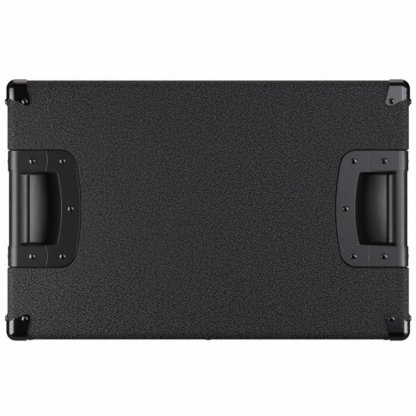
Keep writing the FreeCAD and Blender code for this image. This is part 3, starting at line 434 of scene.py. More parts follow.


# Bare wood, its colour scaled nearly to black round the handle openings, where the grooves show
def veneer(name, pale, dark):
    f = Finish(name, pale, 0.62, Specular_IOR_Level=0.1)
    drawn_out = f.mapped(scale=(6.0, 60.0, 60.0))
    grain = f.waves(1.2, "Y", drawn_out, twist=6.0, detail=3.0, twist_scale=0.7)
    pores = f.noise(55.0, 4.0, 0.6, f.mapped(scale=(1.5, 14.0, 14.0)))
    both = f.math("ADD", f.math("MULTIPLY", grain, 0.55), f.math("MULTIPLY", pores, 0.45))
    spot = f.node("ShaderNodeSeparateXYZ")
    f.feed(f.place, spot.inputs[0])
    along = f.math("ABSOLUTE", f.math("SUBTRACT", spot.outputs["Y"], handle_y), 0.0)
    aside = f.math("ABSOLUTE", spot.outputs["X"], 0.0)
    beside = f.math("LESS_THAN", along, handle_half + dark_margin)
    out = f.math("GREATER_THAN", aside, half_width - handle_reach - dark_margin)
    high = f.math("GREATER_THAN", spot.outputs["Z"], top_z - handle_reach - dark_margin)
    near = f.math("MULTIPLY", beside, f.math("MULTIPLY", out, high))
    # Wood colour scaled nearly to black round the handle openings
    darkened_wood = f.node("ShaderNodeVectorMath", operation="SCALE")
    f.feed(f.ramp(both, [(0.2, dark), (0.75, pale)]), darkened_wood.inputs[0])
    f.feed(f.level(near, 1.0, 0.01), darkened_wood.inputs["Scale"])
    f.color(darkened_wood.outputs[0])
    f.roughness(f.level(f.math("ADD", near, pores), 0.5, 0.9, 0.3, 1.3))
    f.bump(both, 0.15 * mm, 0.4)
    return f.material


def painted_board(name, tone):
    f = Finish(name, (tone, tone, tone), 0.6)
    roller = f.noise(420.0, 3.0, 0.6)
    patch = f.noise(14.0, 3.0, 0.5)
    f.color(f.ramp(patch, [(0.3, (tone * 0.75,) * 3), (0.75, (tone * 1.35,) * 3)]))
    f.roughness(f.level(roller, 0.5, 0.7, 0.3, 0.7))
    f.bump(roller, 0.12 * mm, 0.6)
    return f.material


def woven_cloth(name, warp, weft, pitch):
    f = Finish(name, warp, 0.85, Sheen_Weight=0.15, Sheen_Roughness=0.5)
    lie = f.mapped(turn=(90, 0, 0))
    over = f.waves(math.pi / (10 * pitch), "X", lie)
    under = f.waves(math.pi / (10 * pitch), "Y", lie)
    weave = f.math("MULTIPLY", over, under)
    fuzz = f.noise(2600.0, 2.0, 0.7)
    height = f.math("ADD", weave, f.math("MULTIPLY", fuzz, 0.35))
    f.color(f.ramp(height, [(0.15, warp), (0.75, weft)]))
    f.roughness(f.level(fuzz, 0.75, 0.95, 0.3, 0.7))
    f.bump(height, 0.3 * mm, 0.8)
    return f.material


def pressed_fibre(name, pale, dark, grain, depth, roughness=0.85):
    f = Finish(name, pale, roughness)
    fibre = f.noise(grain, 4.0, 0.65, twist=0.6)
    patch = f.noise(22.0, 3.0, 0.5)
    both = f.math("ADD", f.math("MULTIPLY", fibre, 0.6), f.math("MULTIPLY", patch, 0.4))
    f.color(f.ramp(both, [(0.3, dark), (0.7, pale)]))
    f.roughness(f.level(fibre, roughness - 0.1, min(1.0, roughness + 0.1), 0.3, 0.7))
    f.bump(fibre, depth, 0.7)
    return f.material


def soft_rubber(name, tone):
    f = Finish(name, (tone, tone, tone), 0.7)
    speck = f.noise(900.0, 3.0, 0.6)
    scuff = f.noise(60.0, 4.0, 0.65)
    f.color(f.ramp(scuff, [(0.35, (tone,) * 3), (0.8, (tone * 2.2,) * 3)]))
    f.roughness(f.level(scuff, 0.6, 0.85, 0.3, 0.7))
    f.bump(speck, 0.08 * mm, 0.5)
    return f.material


def hook_and_loop(name, tone):
    f = Finish(name, (tone, tone, tone), 0.95, Sheen_Weight=0.3)
    tuft = f.cells(1400.0)
    # Colour lighter on the raised tufts and darker between them: painted highlight and painted shade
    f.color(f.ramp(tuft, [(0.1, (tone * 2.0,) * 3), (0.6, (tone * 0.6,) * 3)]))
    f.roughness(f.level(tuft, 0.85, 1.0))
    f.bump(f.level(tuft, 1.0, 0.0), 0.5 * mm, 0.9)
    return f.material


def wound_copper(name, color):
    f = Finish(name, color, 0.35, Metallic=1.0)
    turns = f.waves(math.pi / (10 * 0.35 * mm), "Y")
    # Colour darker in the hollows between the turns: painted shade
    f.color(f.ramp(turns, [(0.2, tuple(c * 0.5 for c in color)), (0.7, color)]))
    f.roughness(f.level(turns, 0.45, 0.28))
    f.bump(turns, 0.1 * mm, 0.8)
    return f.material


finish = {
    "plywood": veneer("birch_ply", (0.50, 0.34, 0.19), (0.33, 0.20, 0.10)),
    "vinyl": grained_vinyl("black_vinyl", vinyl_tone, grooved=True),
    "panel_vinyl": grained_vinyl("black_panel_vinyl", vinyl_tone),
    "black_board": painted_board("black_board", 0.012),
    "grille_cloth": woven_cloth("speaker_cloth", (0.012, 0.012, 0.013), (0.05, 0.05, 0.052), 1.1 * mm),
    "pad_nylon": hook_and_loop("nylon_pad", 0.015),
    "corner_metal": gloss_black("gloss_corner", 0.001, 0.19, IOR=1.68),
    "handle_plastic": moulded_plastic("handle_plastic", 0.003, 0.35, 420.0, 0.4 * mm, IOR=1.55),
    "strap_steel": gloss_black("strap_paint", 0.008, 0.36),
    "bar_steel": gloss_black("bar_paint", 0.004, 0.36),
    "screw_steel": brushed_metal("screw_steel", (0.10, 0.10, 0.104), 0.2),
    "foot_rubber": soft_rubber("foot_rubber", 0.012),
    "zinc_steel": brushed_metal("zinc_steel", (0.62, 0.62, 0.60), 0.32),
    "basket_paint": gloss_black("basket_paint", 0.02, 0.45),
    "ferrite": pressed_fibre("ferrite", (0.035, 0.035, 0.04), (0.02, 0.02, 0.022), 500.0, 0.08 * mm, 0.6),
    "cone_paper": pressed_fibre("cone_paper", (0.045, 0.043, 0.041), (0.02, 0.02, 0.02), 700.0, 0.15 * mm),
    "surround_cloth": pressed_fibre("surround_cloth", (0.03, 0.028, 0.027), (0.012, 0.012, 0.012), 1200.0,
                                    0.1 * mm, 0.6),
    "spider_cloth": woven_cloth("spider_cloth", (0.30, 0.17, 0.05), (0.55, 0.36, 0.14), 0.9 * mm),
    "gasket_cork": pressed_fibre("gasket_cork", (0.36, 0.22, 0.12), (0.18, 0.10, 0.05), 350.0, 0.2 * mm),
    "coil_copper": wound_copper("coil_copper", (0.72, 0.34, 0.18)),
    "cup_plastic": moulded_plastic("cup_plastic", 0.010, 0.5, 900.0, 0.06 * mm),
    "jack_plastic": moulded_plastic("jack_plastic", 0.012, 0.4, 1300.0, 0.03 * mm),
    "lead_red": moulded_plastic("lead_red", 0.36, 0.4, 1800.0, 0.02 * mm, tint=(1.0, 0.05, 0.04)),
    "lead_black": moulded_plastic("lead_black", 0.012, 0.45, 1800.0, 0.02 * mm),
    "tinsel_copper": wound_copper("tinsel_copper", (0.66, 0.36, 0.22)),
}


# Rounded outer form of the cabinet
def rounded_cabinet(name):
    bm = sized_box((2 * half_width, 2 * half_depth, top_z - bottom_z), (0, 0, middle_z))
    bmesh.ops.bevel(bm, geom=bm.edges[:], offset=edge_radius, segments=edge_steps, profile=0.5,
                    affect="EDGES")
    return piece_from(bm, name)


# Outline with straight ends, round corners and a bowed far side
def bowed_outline(half, reach, bow, corner, corner_steps=14, bow_steps=36):
    centre = reach - bow
    py = half - corner
    turn = math.asin(py / (bow - corner))
    cx = centre + (bow - corner) * math.cos(turn)
    points = []
    for i in range(corner_steps + 1):
        a = math.pi / 2 + (turn - math.pi / 2) * i / corner_steps
        points.append((cx + corner * math.cos(a), py + corner * math.sin(a)))
    for i in range(1, bow_steps // 2 + 1):
        a = turn * (1 - 2 * i / bow_steps)
        points.append((centre + bow * math.cos(a), bow * math.sin(a)))
    return [(-outside, half)] + points + [(u, -v) for u, v in points[-2::-1]] + [(-outside, -half)]


def on_top_face(side, u, v, w):
    return Vector((side * (half_width - u), handle_y + v, top_z - w))


def on_side_face(side, u, v, w):
    return Vector((side * (half_width - w), handle_y + v, top_z - u))


# Grain coordinates in metres, each face laid out in the plane it mostly lies in
def flatten_grain(mesh):
    layer = mesh.uv_layers.new(name="grain")
    for face in mesh.polygons:
        lies = max(range(3), key=lambda axis: abs(face.normal[axis]))
        across, along = [(1, 2), (0, 2), (0, 1)][lies]
        for loop in face.loop_indices:
            spot = mesh.vertices[mesh.loops[loop].vertex_index].co
            layer.data[loop].uv = (spot[across], spot[along])


# Narrow turned-in ledge round the bottom of each handle opening
def add_ledge(bm):
    rim = [e for e in bm.edges if e.is_boundary and all(abs(v.co.y) < handle_reach for v in e.verts)]
    toward = {}
    for edge in rim:
        for vert in edge.verts:
            spot = vert.co.to_tuple(7)
            toward[spot] = toward.get(spot, Vector()) + edge.link_faces[0].normal
    grown = bmesh.ops.extrude_edge_only(bm, edges=rim)
    for vert in [v for v in grown["geom"] if isinstance(v, bmesh.types.BMVert)]:
        vert.co += toward[vert.co.to_tuple(7)].normalized() * ledge


# Painted shade in the handle grooves: each point of the covering gets 1 outside and a dark factor down in
# the grooves, which darkens the vinyl's colour there
def paint_groove_shade(bm):
    groove_shade = bm.verts.layers.float.new("groove_shade")
    for vert in bm.verts:
        down = top_z - vert.co.z
        across = half_width - abs(vert.co.x)
        inside = abs(vert.co.y - handle_y) < handle_half + opening_gap + vinyl_roll / 2
        inside = inside and groove_top < min(down, across) < flange_recess + slack
        inside = inside and down < groove_reach and across < groove_reach
        vert[groove_shade] = painted_groove_shade if inside else 1.0


# Vinyl covering: rolled over every edge, turned into both openings and into the handle openings
def vinyl_covering():
    skin = rounded_cabinet("vinyl_covering_skin")
    tunnels = [(-half_depth - outside, baffle_front), (back_inner, half_depth + outside)]
    for near, far in tunnels:
        boolean(skin, block("tunnel", (-opening_half_width, near, opening_bottom),
                            (opening_half_width, far, opening_top)), "DIFFERENCE")
    outline = bowed_outline(handle_half + opening_gap, handle_reach + opening_gap, flange_bow + opening_gap,
                            flange_corner + opening_gap)
    for side in (-1, 1):
        for place in (on_top_face, on_side_face):
            ring = [place(side, u, v, -outside) for u, v in outline]
            rise = place(side, 0, 0, flange_recess) - place(side, 0, 0, -outside)
            boolean(skin, prism("handle_opening", ring, rise), "DIFFERENCE")
    bm = bmesh.new()
    bm.from_mesh(skin.data)
    floor_z = top_z - flange_recess
    floor_x = half_width - flange_recess
    gone = []
    for face in bm.faces:
        c = face.calc_center_median()
        n = face.normal
        off_end = min(abs(c.y - baffle_front), abs(c.y - back_inner))
        open_end = abs(n.y) > face_on and off_end < same_place
        open_top = abs(n.z) > face_on and abs(c.z - floor_z) < same_place
        open_side = abs(n.x) > face_on and abs(abs(c.x) - floor_x) < same_place
        if open_end or open_top or open_side:
            gone.append(face)
    bmesh.ops.delete(bm, geom=gone, context="FACES")
    round_edges(bm, vinyl_roll, 4, 55)
    add_ledge(bm)
    paint_groove_shade(bm)
    bm.to_mesh(skin.data)
    bm.free()
    thicken(skin, vinyl_thickness)
    shade(skin, sheet_sharp_angle)
    flatten_grain(skin.data)
    return skin


covering = vinyl_covering()
dress(covering, "cabinet", "vinyl", "vinyl_covering")


# Copies of the rigid pieces that show, with soft edges and even shading
def refined(node, bevel=0.0, steps=2, least_angle=50, least_length=0.0, chosen=None, reshape=None):
    bm = cad_copy(node)
    melt_flats(bm)
    if reshape:
        reshape(bm)
    if bevel:
        round_edges(bm, bevel, steps, least_angle, least_length, chosen)
    obj = shade(piece_from(bm, node + "_piece"), sharp_angle)
    return dress(obj, None if node in fixed_end else body_of[node], slot_of[node], node)


# Ends of a corner's legs spread a little and rise towards the corner of the box
def shape_leg_ends(bm):
    begin, full = leg_end
    for vert in bm.verts:
        x, y, z = vert.co
        across = half_width - abs(x)
        up = min(abs(top_z - z), abs(z - bottom_z))
        inward = half_depth - abs(y)
        lean = leg_spread * max(0.0, inward - leg_pivot)
        if across > edge_radius:
            vert.co.x -= math.copysign(lean * min(1.0, (across - edge_radius) / leg_width), x)
        elif up > edge_radius:
            vert.co.z -= math.copysign(lean * min(1.0, (up - edge_radius) / leg_width), z - middle_z)
        along = min(1.0, max(0.0, (inward - begin) / (full - begin)))
        vert.co.y += math.copysign(leg_rise * along * max(0.0, 1.0 - max(across, up) / leg_length), y)


# Edges of a dish's flange that face the end of a strap
def round_strap_pocket(edge):
    begin, end = pocket_end
    for vert in edge.verts:
        near, far = sorted((top_z - vert.co.z, half_width - abs(vert.co.x)))
        if abs(near - handle_inset) > same_place or not begin < far < end:
            return False
    return True


# Ends of a strap drawn back from its pocket
def shorten_strap(bm):
    for vert in bm.verts:
        down = top_z - vert.co.z
        across = half_width - abs(vert.co.x)
        if across > strap_straight:
            vert.co.x += math.copysign(strap_short * (across - strap_straight) / strap_tip, vert.co.x)
        elif down > strap_straight:
            vert.co.z += strap_short * (down - strap_straight) / strap_tip


# Bar with a slot beside each strap and a slightly fuller grip on its inner side
def handle_bar(name, side):
    bm = cad_copy(name + "_handle_bar")
    melt_flats(bm)
    bar = piece_from(bm, name + "_handle_bar_piece")
    for end in (-1, 1):
        near, far = sorted((handle_y + end * slot_near, handle_y + end * slot_far))
        for across, down in ((bar_slot, 0.0), (0.0, bar_slot)):
            x0, x1 = sorted((side * (half_width - across), side * (half_width - bar_room)))
            boolean(bar, block("slot", (x0, near, top_z - bar_room), (x1, far, top_z - down)), "DIFFERENCE")
    for vert in bar.data.vertices:
        if abs(vert.co.y - handle_y) < slot_near + same_place:
            across = half_width - bar_middle - abs(vert.co.x)
            down = top_z - bar_middle - vert.co.z
            vert.co.x -= math.copysign(max(across, 0.0) * (grip_fullness - 1.0), vert.co.x)
            vert.co.z -= max(down, 0.0) * (grip_fullness - 1.0)
    return dress(shade(bar, sharp_angle), "cabinet", "bar_steel", name + "_handle_bar")


corner_nodes = [n for n in nodes if n.startswith("corner_") and n != "corner_screws"]
for node in corner_nodes:
    refined(node, bevel=0.5 * mm, reshape=shape_leg_ends)
for name, side in (("left", -1), ("right", 1)):
    refined(name + "_handle_dish", bevel=1.0 * mm, least_angle=60, chosen=round_strap_pocket)
    handle_bar(name, side)
    refined(name + "_handle_front_strap", reshape=shorten_strap)
    refined(name + "_handle_rear_strap", reshape=shorten_strap)
for node in [n for n in nodes if n.startswith("foot_") and n != "foot_screws"]:
    refined(node, bevel=0.6 * mm)
refined("back_panel", bevel=1.4 * mm, steps=3, least_length=20 * mm)
refined("jack_cup", bevel=0.5 * mm)
refined("jack_nuts", bevel=0.3 * mm)
refined("back_panel_cup_washers", bevel=0.2 * mm)
for node in ("magnet_front_plate", "magnet_back_plate", "ferrite_magnet"):
    refined(node, bevel=0.8 * mm)
for node in ("speaker_basket", "speaker_gasket", "cone", "dust_cap", "voice_coil", "terminal_strip",
             "speaker_bolts", "speaker_t_nuts", "input_jack", "link_jack", "push_on_terminals",
             "grille_frame", "speaker_lead_red", "speaker_lead_black"):
    refined(node)


# Ring laid out by its radius for a moment while its transform is baked, then put back as it was
def bend_ring(ring, middle):
    points = [vert.co.copy() for vert in ring.data.vertices]
    radii = [math.hypot(point.x, point.z - middle) for point in points]
    for vert, radius in zip(ring.data.vertices, radii):
        vert.co.y = radius
    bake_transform(ring)
    for vert, point in zip(ring.data.vertices, points):
        vert.co = point


# Smooth copies of the driver's suspension pieces between the basket and the cone, on no body
for node, still in fixed_end.items():
    piece = refined(node)
    low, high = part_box(node)
    if node == "tinsel_leads":
        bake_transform(piece)
    else:
        bend_ring(piece, (low[2] + high[2]) / 2)


# Screws: one tree draws a domed head with a cross recess on every seat
def screw_tree():
    tree = bpy.data.node_groups.new("cross_head_screws", "GeometryNodeTree")
    face = tree.interface
    face.new_socket("Seats", in_out="INPUT", socket_type="NodeSocketGeometry")
    sizes = [("Head radius", 4.7 * mm), ("Rim height", 0.4 * mm), ("Dome height", 2.4 * mm),
             ("Cross length", 6.0 * mm), ("Cross width", 3.4 * mm), ("Cross depth", 2.2 * mm),
             ("Shank radius", 1.95 * mm), ("Shank length", 9.0 * mm)]
    for name, value in sizes:
        face.new_socket(name, in_out="INPUT", socket_type="NodeSocketFloat").default_value = value
    face.new_socket("Turn seed", in_out="INPUT", socket_type="NodeSocketInt").default_value = 4
    face.new_socket("Finish", in_out="INPUT", socket_type="NodeSocketMaterial")
    face.new_socket("Screws", in_out="OUTPUT", socket_type="NodeSocketGeometry")
    put = tree.nodes.new
    tie = tree.links.new
    given = put("NodeGroupInput").outputs
    result = put("NodeGroupOutput").inputs

    def calc(operation, first, second=None):
        made = put("ShaderNodeMath")
        made.operation = operation
        for socket, value in zip(made.inputs, (first, second)):
            if isinstance(value, (int, float)):
                socket.default_value = value
            elif value is not None:
                tie(value, socket)
        return made.outputs[0]

    def vector(x, y, z):
        made = put("ShaderNodeCombineXYZ")
        for socket, value in zip(made.inputs, (x, y, z)):
            if isinstance(value, (int, float)):
                socket.default_value = value
            else:
                tie(value, socket)
        return made.outputs[0]

    def moved(geometry, offset, scale=None):
        made = put("GeometryNodeTransform")
        tie(geometry, made.inputs["Geometry"])
        tie(offset, made.inputs["Translation"])
        if scale:
            tie(scale, made.inputs["Scale"])
        return made.outputs[0]

    head = put("GeometryNodeMeshCylinder")
    head.fill_type = "TRIANGLE_FAN"
    head.inputs["Vertices"].default_value = 32
    head.inputs["Side Segments"].default_value = 1
    head.inputs["Fill Segments"].default_value = 10
    tie(given["Head radius"], head.inputs["Radius"])
    tie(given["Rim height"], head.inputs["Depth"])
    raised = moved(head.outputs["Mesh"], vector(0, 0, calc("MULTIPLY", given["Rim height"], 0.5)))
    spot = put("ShaderNodeSeparateXYZ")
    tie(put("GeometryNodeInputPosition").outputs[0], spot.inputs[0])
    x, y, z = spot.outputs
    square = calc("ADD", calc("MULTIPLY", x, x), calc("MULTIPLY", y, y))
    limit = calc("MULTIPLY", given["Head radius"], given["Head radius"])
    inward = calc("MAXIMUM", calc("SUBTRACT", 1.0, calc("DIVIDE", square, limit)), 0.0)
    crown = calc("MULTIPLY", given["Dome height"], calc("SQRT", inward))
    dome = put("GeometryNodeSetPosition")
    tie(raised, dome.inputs["Geometry"])
    tie(calc("GREATER_THAN", z, calc("MULTIPLY", given["Rim height"], 0.5)), dome.inputs["Selection"])
    tie(vector(0, 0, crown), dome.inputs["Offset"])
    crest = calc("ADD", given["Rim height"], given["Dome height"])
    cross = put("GeometryNodeMeshBoolean")
    cross.operation = "DIFFERENCE"
    cross.solver = "EXACT"
    tie(dome.outputs[0], cross.inputs["Mesh 1"])
    for long_x in (True, False):
        arm = put("GeometryNodeMeshCone")
        arm.inputs["Vertices"].default_value = 4
        arm.inputs["Radius Top"].default_value = 1.0
        arm.inputs["Radius Bottom"].default_value = 0.0
        tie(calc("MULTIPLY", given["Cross depth"], 2.0), arm.inputs["Depth"])
        long, wide = given["Cross length"], given["Cross width"]
        spread = vector(long if long_x else wide, wide if long_x else long, 1.0)
        low = vector(0, 0, calc("SUBTRACT", crest, given["Cross depth"]))
        tie(moved(arm.outputs["Mesh"], low, spread), cross.inputs["Mesh 2"])
    shank = put("GeometryNodeMeshCylinder")
    shank.inputs["Vertices"].default_value = 16
    tie(given["Shank radius"], shank.inputs["Radius"])
    tie(given["Shank length"], shank.inputs["Depth"])
    low = calc("MULTIPLY", given["Shank length"], -0.5)
    whole = put("GeometryNodeJoinGeometry")
    tie(moved(shank.outputs["Mesh"], vector(0, 0, low)), whole.inputs[0])
    tie(cross.outputs["Mesh"], whole.inputs[0])
    aim = put("GeometryNodeInputNamedAttribute")
    aim.data_type = "FLOAT_VECTOR"
    aim.inputs["Name"].default_value = "aim"
    align = put("FunctionNodeAlignRotationToVector")
    align.axis = "Z"
    tie(aim.outputs["Attribute"], align.inputs["Vector"])
    chance = put("FunctionNodeRandomValue")
    chance.data_type = "FLOAT"
    chance.inputs[2].default_value = 0.0
    chance.inputs[3].default_value = math.pi / 2
    tie(given["Turn seed"], chance.inputs["Seed"])
    spin = put("FunctionNodeAxisAngleToRotation")
    spin.inputs["Axis"].default_value = (0, 0, 1)
    tie(chance.outputs[1], spin.inputs["Angle"])
    both = put("FunctionNodeRotateRotation")
    both.rotation_space = "LOCAL"
    tie(align.outputs[0], both.inputs["Rotation"])
    tie(spin.outputs[0], both.inputs["Rotate By"])
    seat = put("GeometryNodeInstanceOnPoints")
    tie(given["Seats"], seat.inputs["Points"])
    tie(whole.outputs[0], seat.inputs["Instance"])
    tie(both.outputs[0], seat.inputs["Rotation"])
    real = put("GeometryNodeRealizeInstances")
    tie(seat.outputs[0], real.inputs[0])
    paint = put("GeometryNodeSetMaterial")
    tie(real.outputs[0], paint.inputs["Geometry"])
    tie(given["Finish"], paint.inputs["Material"])
    tie(paint.outputs[0], result["Screws"])
    return tree


screws = screw_tree()


def set_of_screws(node, seats, **sizes):
    name = node.replace("screws", "cross_screws")
    mesh = bpy.data.meshes.new(name)
    mesh.from_pydata([p for p, a in seats], [], [])
    aim = mesh.attributes.new("aim", "FLOAT_VECTOR", "POINT")
    aim.data.foreach_set("vector", [c for p, a in seats for c in a])
    obj = link(bpy.data.objects.new(name, mesh))
    drive = obj.modifiers.new("screws", "NODES")
    drive.node_group = screws
    wanted = {key.replace("_", " "): value for key, value in sizes.items()}
    wanted["Finish"] = finish[slot_of[node]]
    for item in screws.interface.items_tree:
        if item.item_type == "SOCKET" and item.in_out == "INPUT" and item.name in wanted:
            drive[item.identifier] = wanted[item.name]
    settle(obj)
    shade(obj, sharp_angle)
    return dress(obj, "cabinet", slot_of[node], node)


handle_seats = []
for side in (-1, 1):
    for u, v in handle_screws:
        handle_seats.append((on_top_face(side, u, v, handle_inset), (0, 0, 1)))
        handle_seats.append((on_side_face(side, u, v, handle_inset + side_sink), (side, 0, 0)))
corner_seats = []
for sx in (-1, 1):
    for sy in (-1, 1):
        for sz in (-1, 1):
            u, v = corner_screw
            face_z = top_z + corner_stand if sz > 0 else bottom_z - corner_stand
            edge_z = top_z - u if sz > 0 else bottom_z + u
            y = sy * (half_depth - v)
            corner_seats.append(((sx * (half_width - u), y, face_z), (0, 0, sz)))
            corner_seats.append(((sx * (half_width + corner_stand), y, edge_z), (sx, 0, 0)))
foot_seats = [((x, y, foot_recess), (0, 0, -1)) for x in (-foot_x, foot_x) for y in (-foot_y, foot_y)]
back_seats = [((i * back_screw_x, back_face, middle_z + k * back_screw_z), (0, 1, 0))
              for i in (-1, 0, 1) for k in (-1, 0, 1) if i or k]
cup_seats = [((i * cup_screw_x, back_face + cup_screw_stand, cup_z + k * cup_screw_z), (0, 1, 0))
             for i in (-1, 1) for k in (-1, 1)]
set_of_screws("handle_screws", handle_seats)
set_of_screws("corner_screws", corner_seats)
set_of_screws("foot_screws", foot_seats)
set_of_screws("back_panel_screws", back_seats, Head_radius=4.3 * mm, Rim_height=1.5 * mm,
              Dome_height=1.1 * mm)
set_of_screws("jack_cup_screws", cup_seats, Head_radius=3.7 * mm, Rim_height=1.4 * mm, Dome_height=0.2 * mm,
              Cross_length=4.2 * mm, Cross_width=2.2 * mm, Cross_depth=1.2 * mm)


# Grille cloth: stretched over the front and round the edges, and turned over the back along the bottom
def grille_cloth():
    bm = sized_box((2 * grille_half_width, grille_back - grille_front, grille_top - grille_bottom),
                   (0, (grille_back + grille_front) / 2, (grille_top + grille_bottom) / 2))
    bmesh.ops.bevel(bm, geom=bm.edges[:], offset=cloth_edge, segments=5, profile=0.5, affect="EDGES")
    obj = piece_from(bm, "grille_cloth_sheet")
    inner_x = grille_half_width - cloth_turnover
    inner_low = grille_bottom + cloth_turnover
    inner_high = grille_top - cloth_turnover
    floor_y = grille_back - outside
    boolean(obj, block("open_back", (-inner_x, floor_y, inner_low),
                       (inner_x, grille_back + outside, inner_high)), "DIFFERENCE")
    bm = bmesh.new()
    bm.from_mesh(obj.data)
    gone = []
    for face in bm.faces:
        c = face.calc_center_median()
        inside = abs(c.x) < inner_x + slack and inner_low - slack < c.z < inner_high + slack
        if inside and c.y > floor_y - slack:
            gone.append(face)
    bmesh.ops.delete(bm, geom=gone, context="FACES")
    bm.to_mesh(obj.data)
    bm.free()
    thicken(obj, cloth_thickness)
    return shade(obj, sheet_sharp_angle)


cloth = dress(grille_cloth(), "grille", "grille_cloth", "grille_cloth")

# Pieces that stay as they are take their own finish
for name, obj in nodes.items():
    for holder in obj.material_slots:
        holder.material = finish[slot_of[name]]


# Floor, light and camera
floor_size = 40.0
floor_tone = 0.6
floor_white = 0.98
low_light_z = 0.26
low_light_height = 0.42
low_light_away = 1.4
flag_away = 0.15
flag_half_width = 0.55
flag_half_thickness = 0.001
board_tone = (0.02, 0.02, 0.02)
board_roughness = 0.9
card_gap = 0.12
card_thickness = 0.01


def studio_floor():
    material = bpy.data.materials.new("pale_floor")
    material.use_nodes = True
    tree = material.node_tree
    tree.nodes.clear()
    put = tree.nodes.new
    path = put("ShaderNodeLightPath")
    seen = path.outputs["Is Camera Ray"]
    for kind in ("Is Glossy Ray", "Is Transmission Ray"):
        either = put("ShaderNodeMath")
        either.operation = "MAXIMUM"
        tree.links.new(seen, either.inputs[0])
        tree.links.new(path.outputs[kind], either.inputs[1])
        seen = either.outputs[0]
    share = put("ShaderNodeMath")
    share.operation = "MULTIPLY"
    share.inputs[1].default_value = floor_white
    tree.links.new(seen, share.inputs[0])
    paint = put("ShaderNodeBsdfDiffuse")
    paint.inputs["Color"].default_value = (floor_tone, floor_tone, floor_tone, 1.0)
    glow = put("ShaderNodeEmission")
    glow.inputs["Strength"].default_value = 1.0
    blend = put("ShaderNodeMixShader")
    tree.links.new(share.outputs[0], blend.inputs["Fac"])
    tree.links.new(paint.outputs[0], blend.inputs[1])
    tree.links.new(glow.outputs[0], blend.inputs[2])
    tree.links.new(blend.outputs[0], put("ShaderNodeOutputMaterial").inputs["Surface"])
    bm = bmesh.new()
    bmesh.ops.create_grid(bm, x_segments=1, y_segments=1, size=floor_size)
    floor = piece_from(bm, "studio_floor")
    floor.data.materials.append(material)


# The surroundings are pale near the horizon and dark overhead
def studio_world():
    world = bpy.data.worlds.new("studio_world")
    bpy.context.scene.world = world
    world.use_nodes = True
    tree = world.node_tree
    split = tree.nodes.new("ShaderNodeSeparateXYZ")
    tree.links.new(tree.nodes.new("ShaderNodeTexCoord").outputs["Generated"], split.inputs[0])
    ramp = tree.nodes.new("ShaderNodeValToRGB")
    ramp.color_ramp.interpolation = "EASE"
    ramp.color_ramp.elements[0].position = 0.08
    ramp.color_ramp.elements[0].color = (0.62, 0.60, 0.58, 1.0)
    ramp.color_ramp.elements[1].position = 0.42
    ramp.color_ramp.elements[1].color = (0.012, 0.012, 0.013, 1.0)
    tree.links.new(split.outputs["Z"], ramp.inputs["Fac"])
    tree.links.new(ramp.outputs["Color"], tree.nodes["Background"].inputs["Color"])


def softbox(name, place, target, width, height, level, color=(1.0, 1.0, 1.0)):
    lamp = bpy.data.lights.new(name, "AREA")
    lamp.shape = "RECTANGLE"
    lamp.size = width
    lamp.size_y = height
    lamp.color = color
    lamp.energy = 4.0 * width * height * level
    obj = link(bpy.data.objects.new(name, lamp))
    obj.location = place
    obj.rotation_euler = (Vector(target) - Vector(place)).to_track_quat("-Z", "Y").to_euler()
    obj.visible_camera = False
    return obj


# Upright softbox beside the cabinet, between two heights over its top
def side_softbox(name, side, away, low, high, near_y, far_y, level, color=(1.0, 1.0, 1.0), tilt=0.0):
    x = side * (half_width + away)
    y = (near_y + far_y) / 2
    z = top_z + (low + high) / 2
    lamp = softbox(name, (x, y, z), (0.0, y, z), far_y - near_y, high - low, level, color)
    lamp.rotation_euler.rotate_axis("Z", math.radians(tilt))


# Dull board that the camera and diffuse light pass through
def dull_board(name, low, high, tone=board_tone):
    board = block(name, low, high)
    board.data.materials.append(Finish(name, tone, board_roughness).material)
    board.visible_camera = False
    board.visible_diffuse = False
    return board


# Dark cards beside the cabinet that keep the floor's white out of its gloss
def black_card(name, low, high, tone=board_tone):
    card = dull_board(name, low, high, tone)
    card.visible_shadow = False


# Low softbox that lights one upright face, with a flag that keeps its light off the top edge
def low_softbox(name, toward, reach, width, level, flag_low, flag_high):
    away = Vector(toward)
    middle = Vector((0.0, 0.0, low_light_z))
    softbox(name, middle + away * (reach + low_light_away), middle, width, low_light_height, level)
    along = Vector((abs(away.y), abs(away.x), 0.0)) * flag_half_width
    near = away * (reach + flag_away)
    thick = Vector((abs(away.x), abs(away.y), 0.0)) * flag_half_thickness
    low = near - along - thick
    high = near + along + thick
    flag = dull_board(name + "_flag", (low.x, low.y, flag_low), (high.x, high.y, flag_high))
    flag.visible_glossy = False


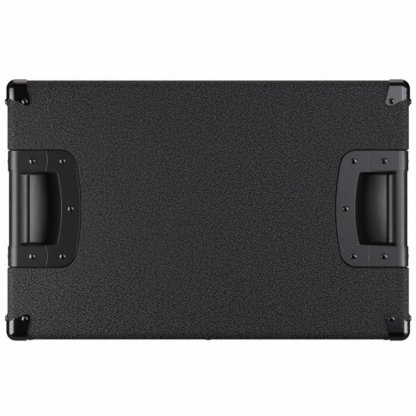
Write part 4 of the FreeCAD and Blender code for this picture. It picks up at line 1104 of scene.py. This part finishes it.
studio_floor()
studio_world()
low_softbox("rear_low_softbox", (0, 1, 0), half_depth, 1.5, 5.0, 0.468, 0.519)
low_softbox("left_low_softbox", (1, 0, 0), half_width, 1.2, 3.4, 0.410, 0.519)
low_softbox("right_low_softbox", (-1, 0, 0), half_width, 1.2, 3.4, 0.410, 0.519)
low_softbox("front_low_softbox", (0, -1, 0), half_depth, 1.5, 1.2, 0.440, 0.515)
side_softbox("left_softbox", 1, 0.20, 0.044, 0.34, -0.189, 0.32, 5.6)
side_softbox("left_upper_softbox", 1, 0.205, 0.34, 0.62, -0.189, 0.32, 0.9)
side_softbox("right_softbox", -1, 1.10, 0.19, 1.09, -0.20, 0.60, 6.7, (1.0, 0.95, 0.94), tilt=22.0)
softbox("top_softbox", (-0.55, -0.33, top_z + 1.0), (-0.55, -0.33, top_z), width=0.90, height=0.90,
        level=1.75, color=(0.94, 0.97, 1.05))
softbox("top_strip", (-1.0, -0.28, top_z + 0.98), (-1.0, -0.28, top_z), width=0.85, height=0.60,
        level=2.35, color=(0.94, 0.98, 1.09))
softbox("front_card", (0.14, -1.2, 0.545), (0.14, 0.0, 0.545), width=0.7, height=1.07,
        level=0.66, color=(1.0, 0.79, 0.60))
card_x = half_width + card_gap
card_y = half_depth + card_gap
card_out = card_x + card_thickness
black_card("left_card", (card_x, -0.55, 0.0), (card_out, 0.60, top_z + 0.022))
black_card("right_front_card", (-card_out, -0.55, 0.0), (-card_x, -0.10, top_z + 0.052))
black_card("right_middle_card", (-card_out, -0.10, 0.0), (-card_x, 0.08, top_z + 0.032))
black_card("right_rear_card", (-card_out, 0.08, 0.0), (-card_x, 0.60, top_z - 0.01))
black_card("rear_card", (-0.45, card_y, 0.0), (0.45, card_y + card_thickness, top_z + 0.04),
           tone=(0.21, 0.195, 0.185))

camera_height = 7.0
frame_width = 0.6303
lens = bpy.data.cameras.new("photo_camera")
lens.sensor_width = 36.0
lens.lens = lens.sensor_width * camera_height / frame_width
lens.clip_end = 100.0
camera = link(bpy.data.objects.new("photo_camera", lens))
camera.location = (0.0003, -0.003, top_z + camera_height)
camera.rotation_euler = (0.0, 0.0, math.pi)
bpy.context.scene.camera = camera
bpy.context.scene.view_settings.view_transform = "Standard"
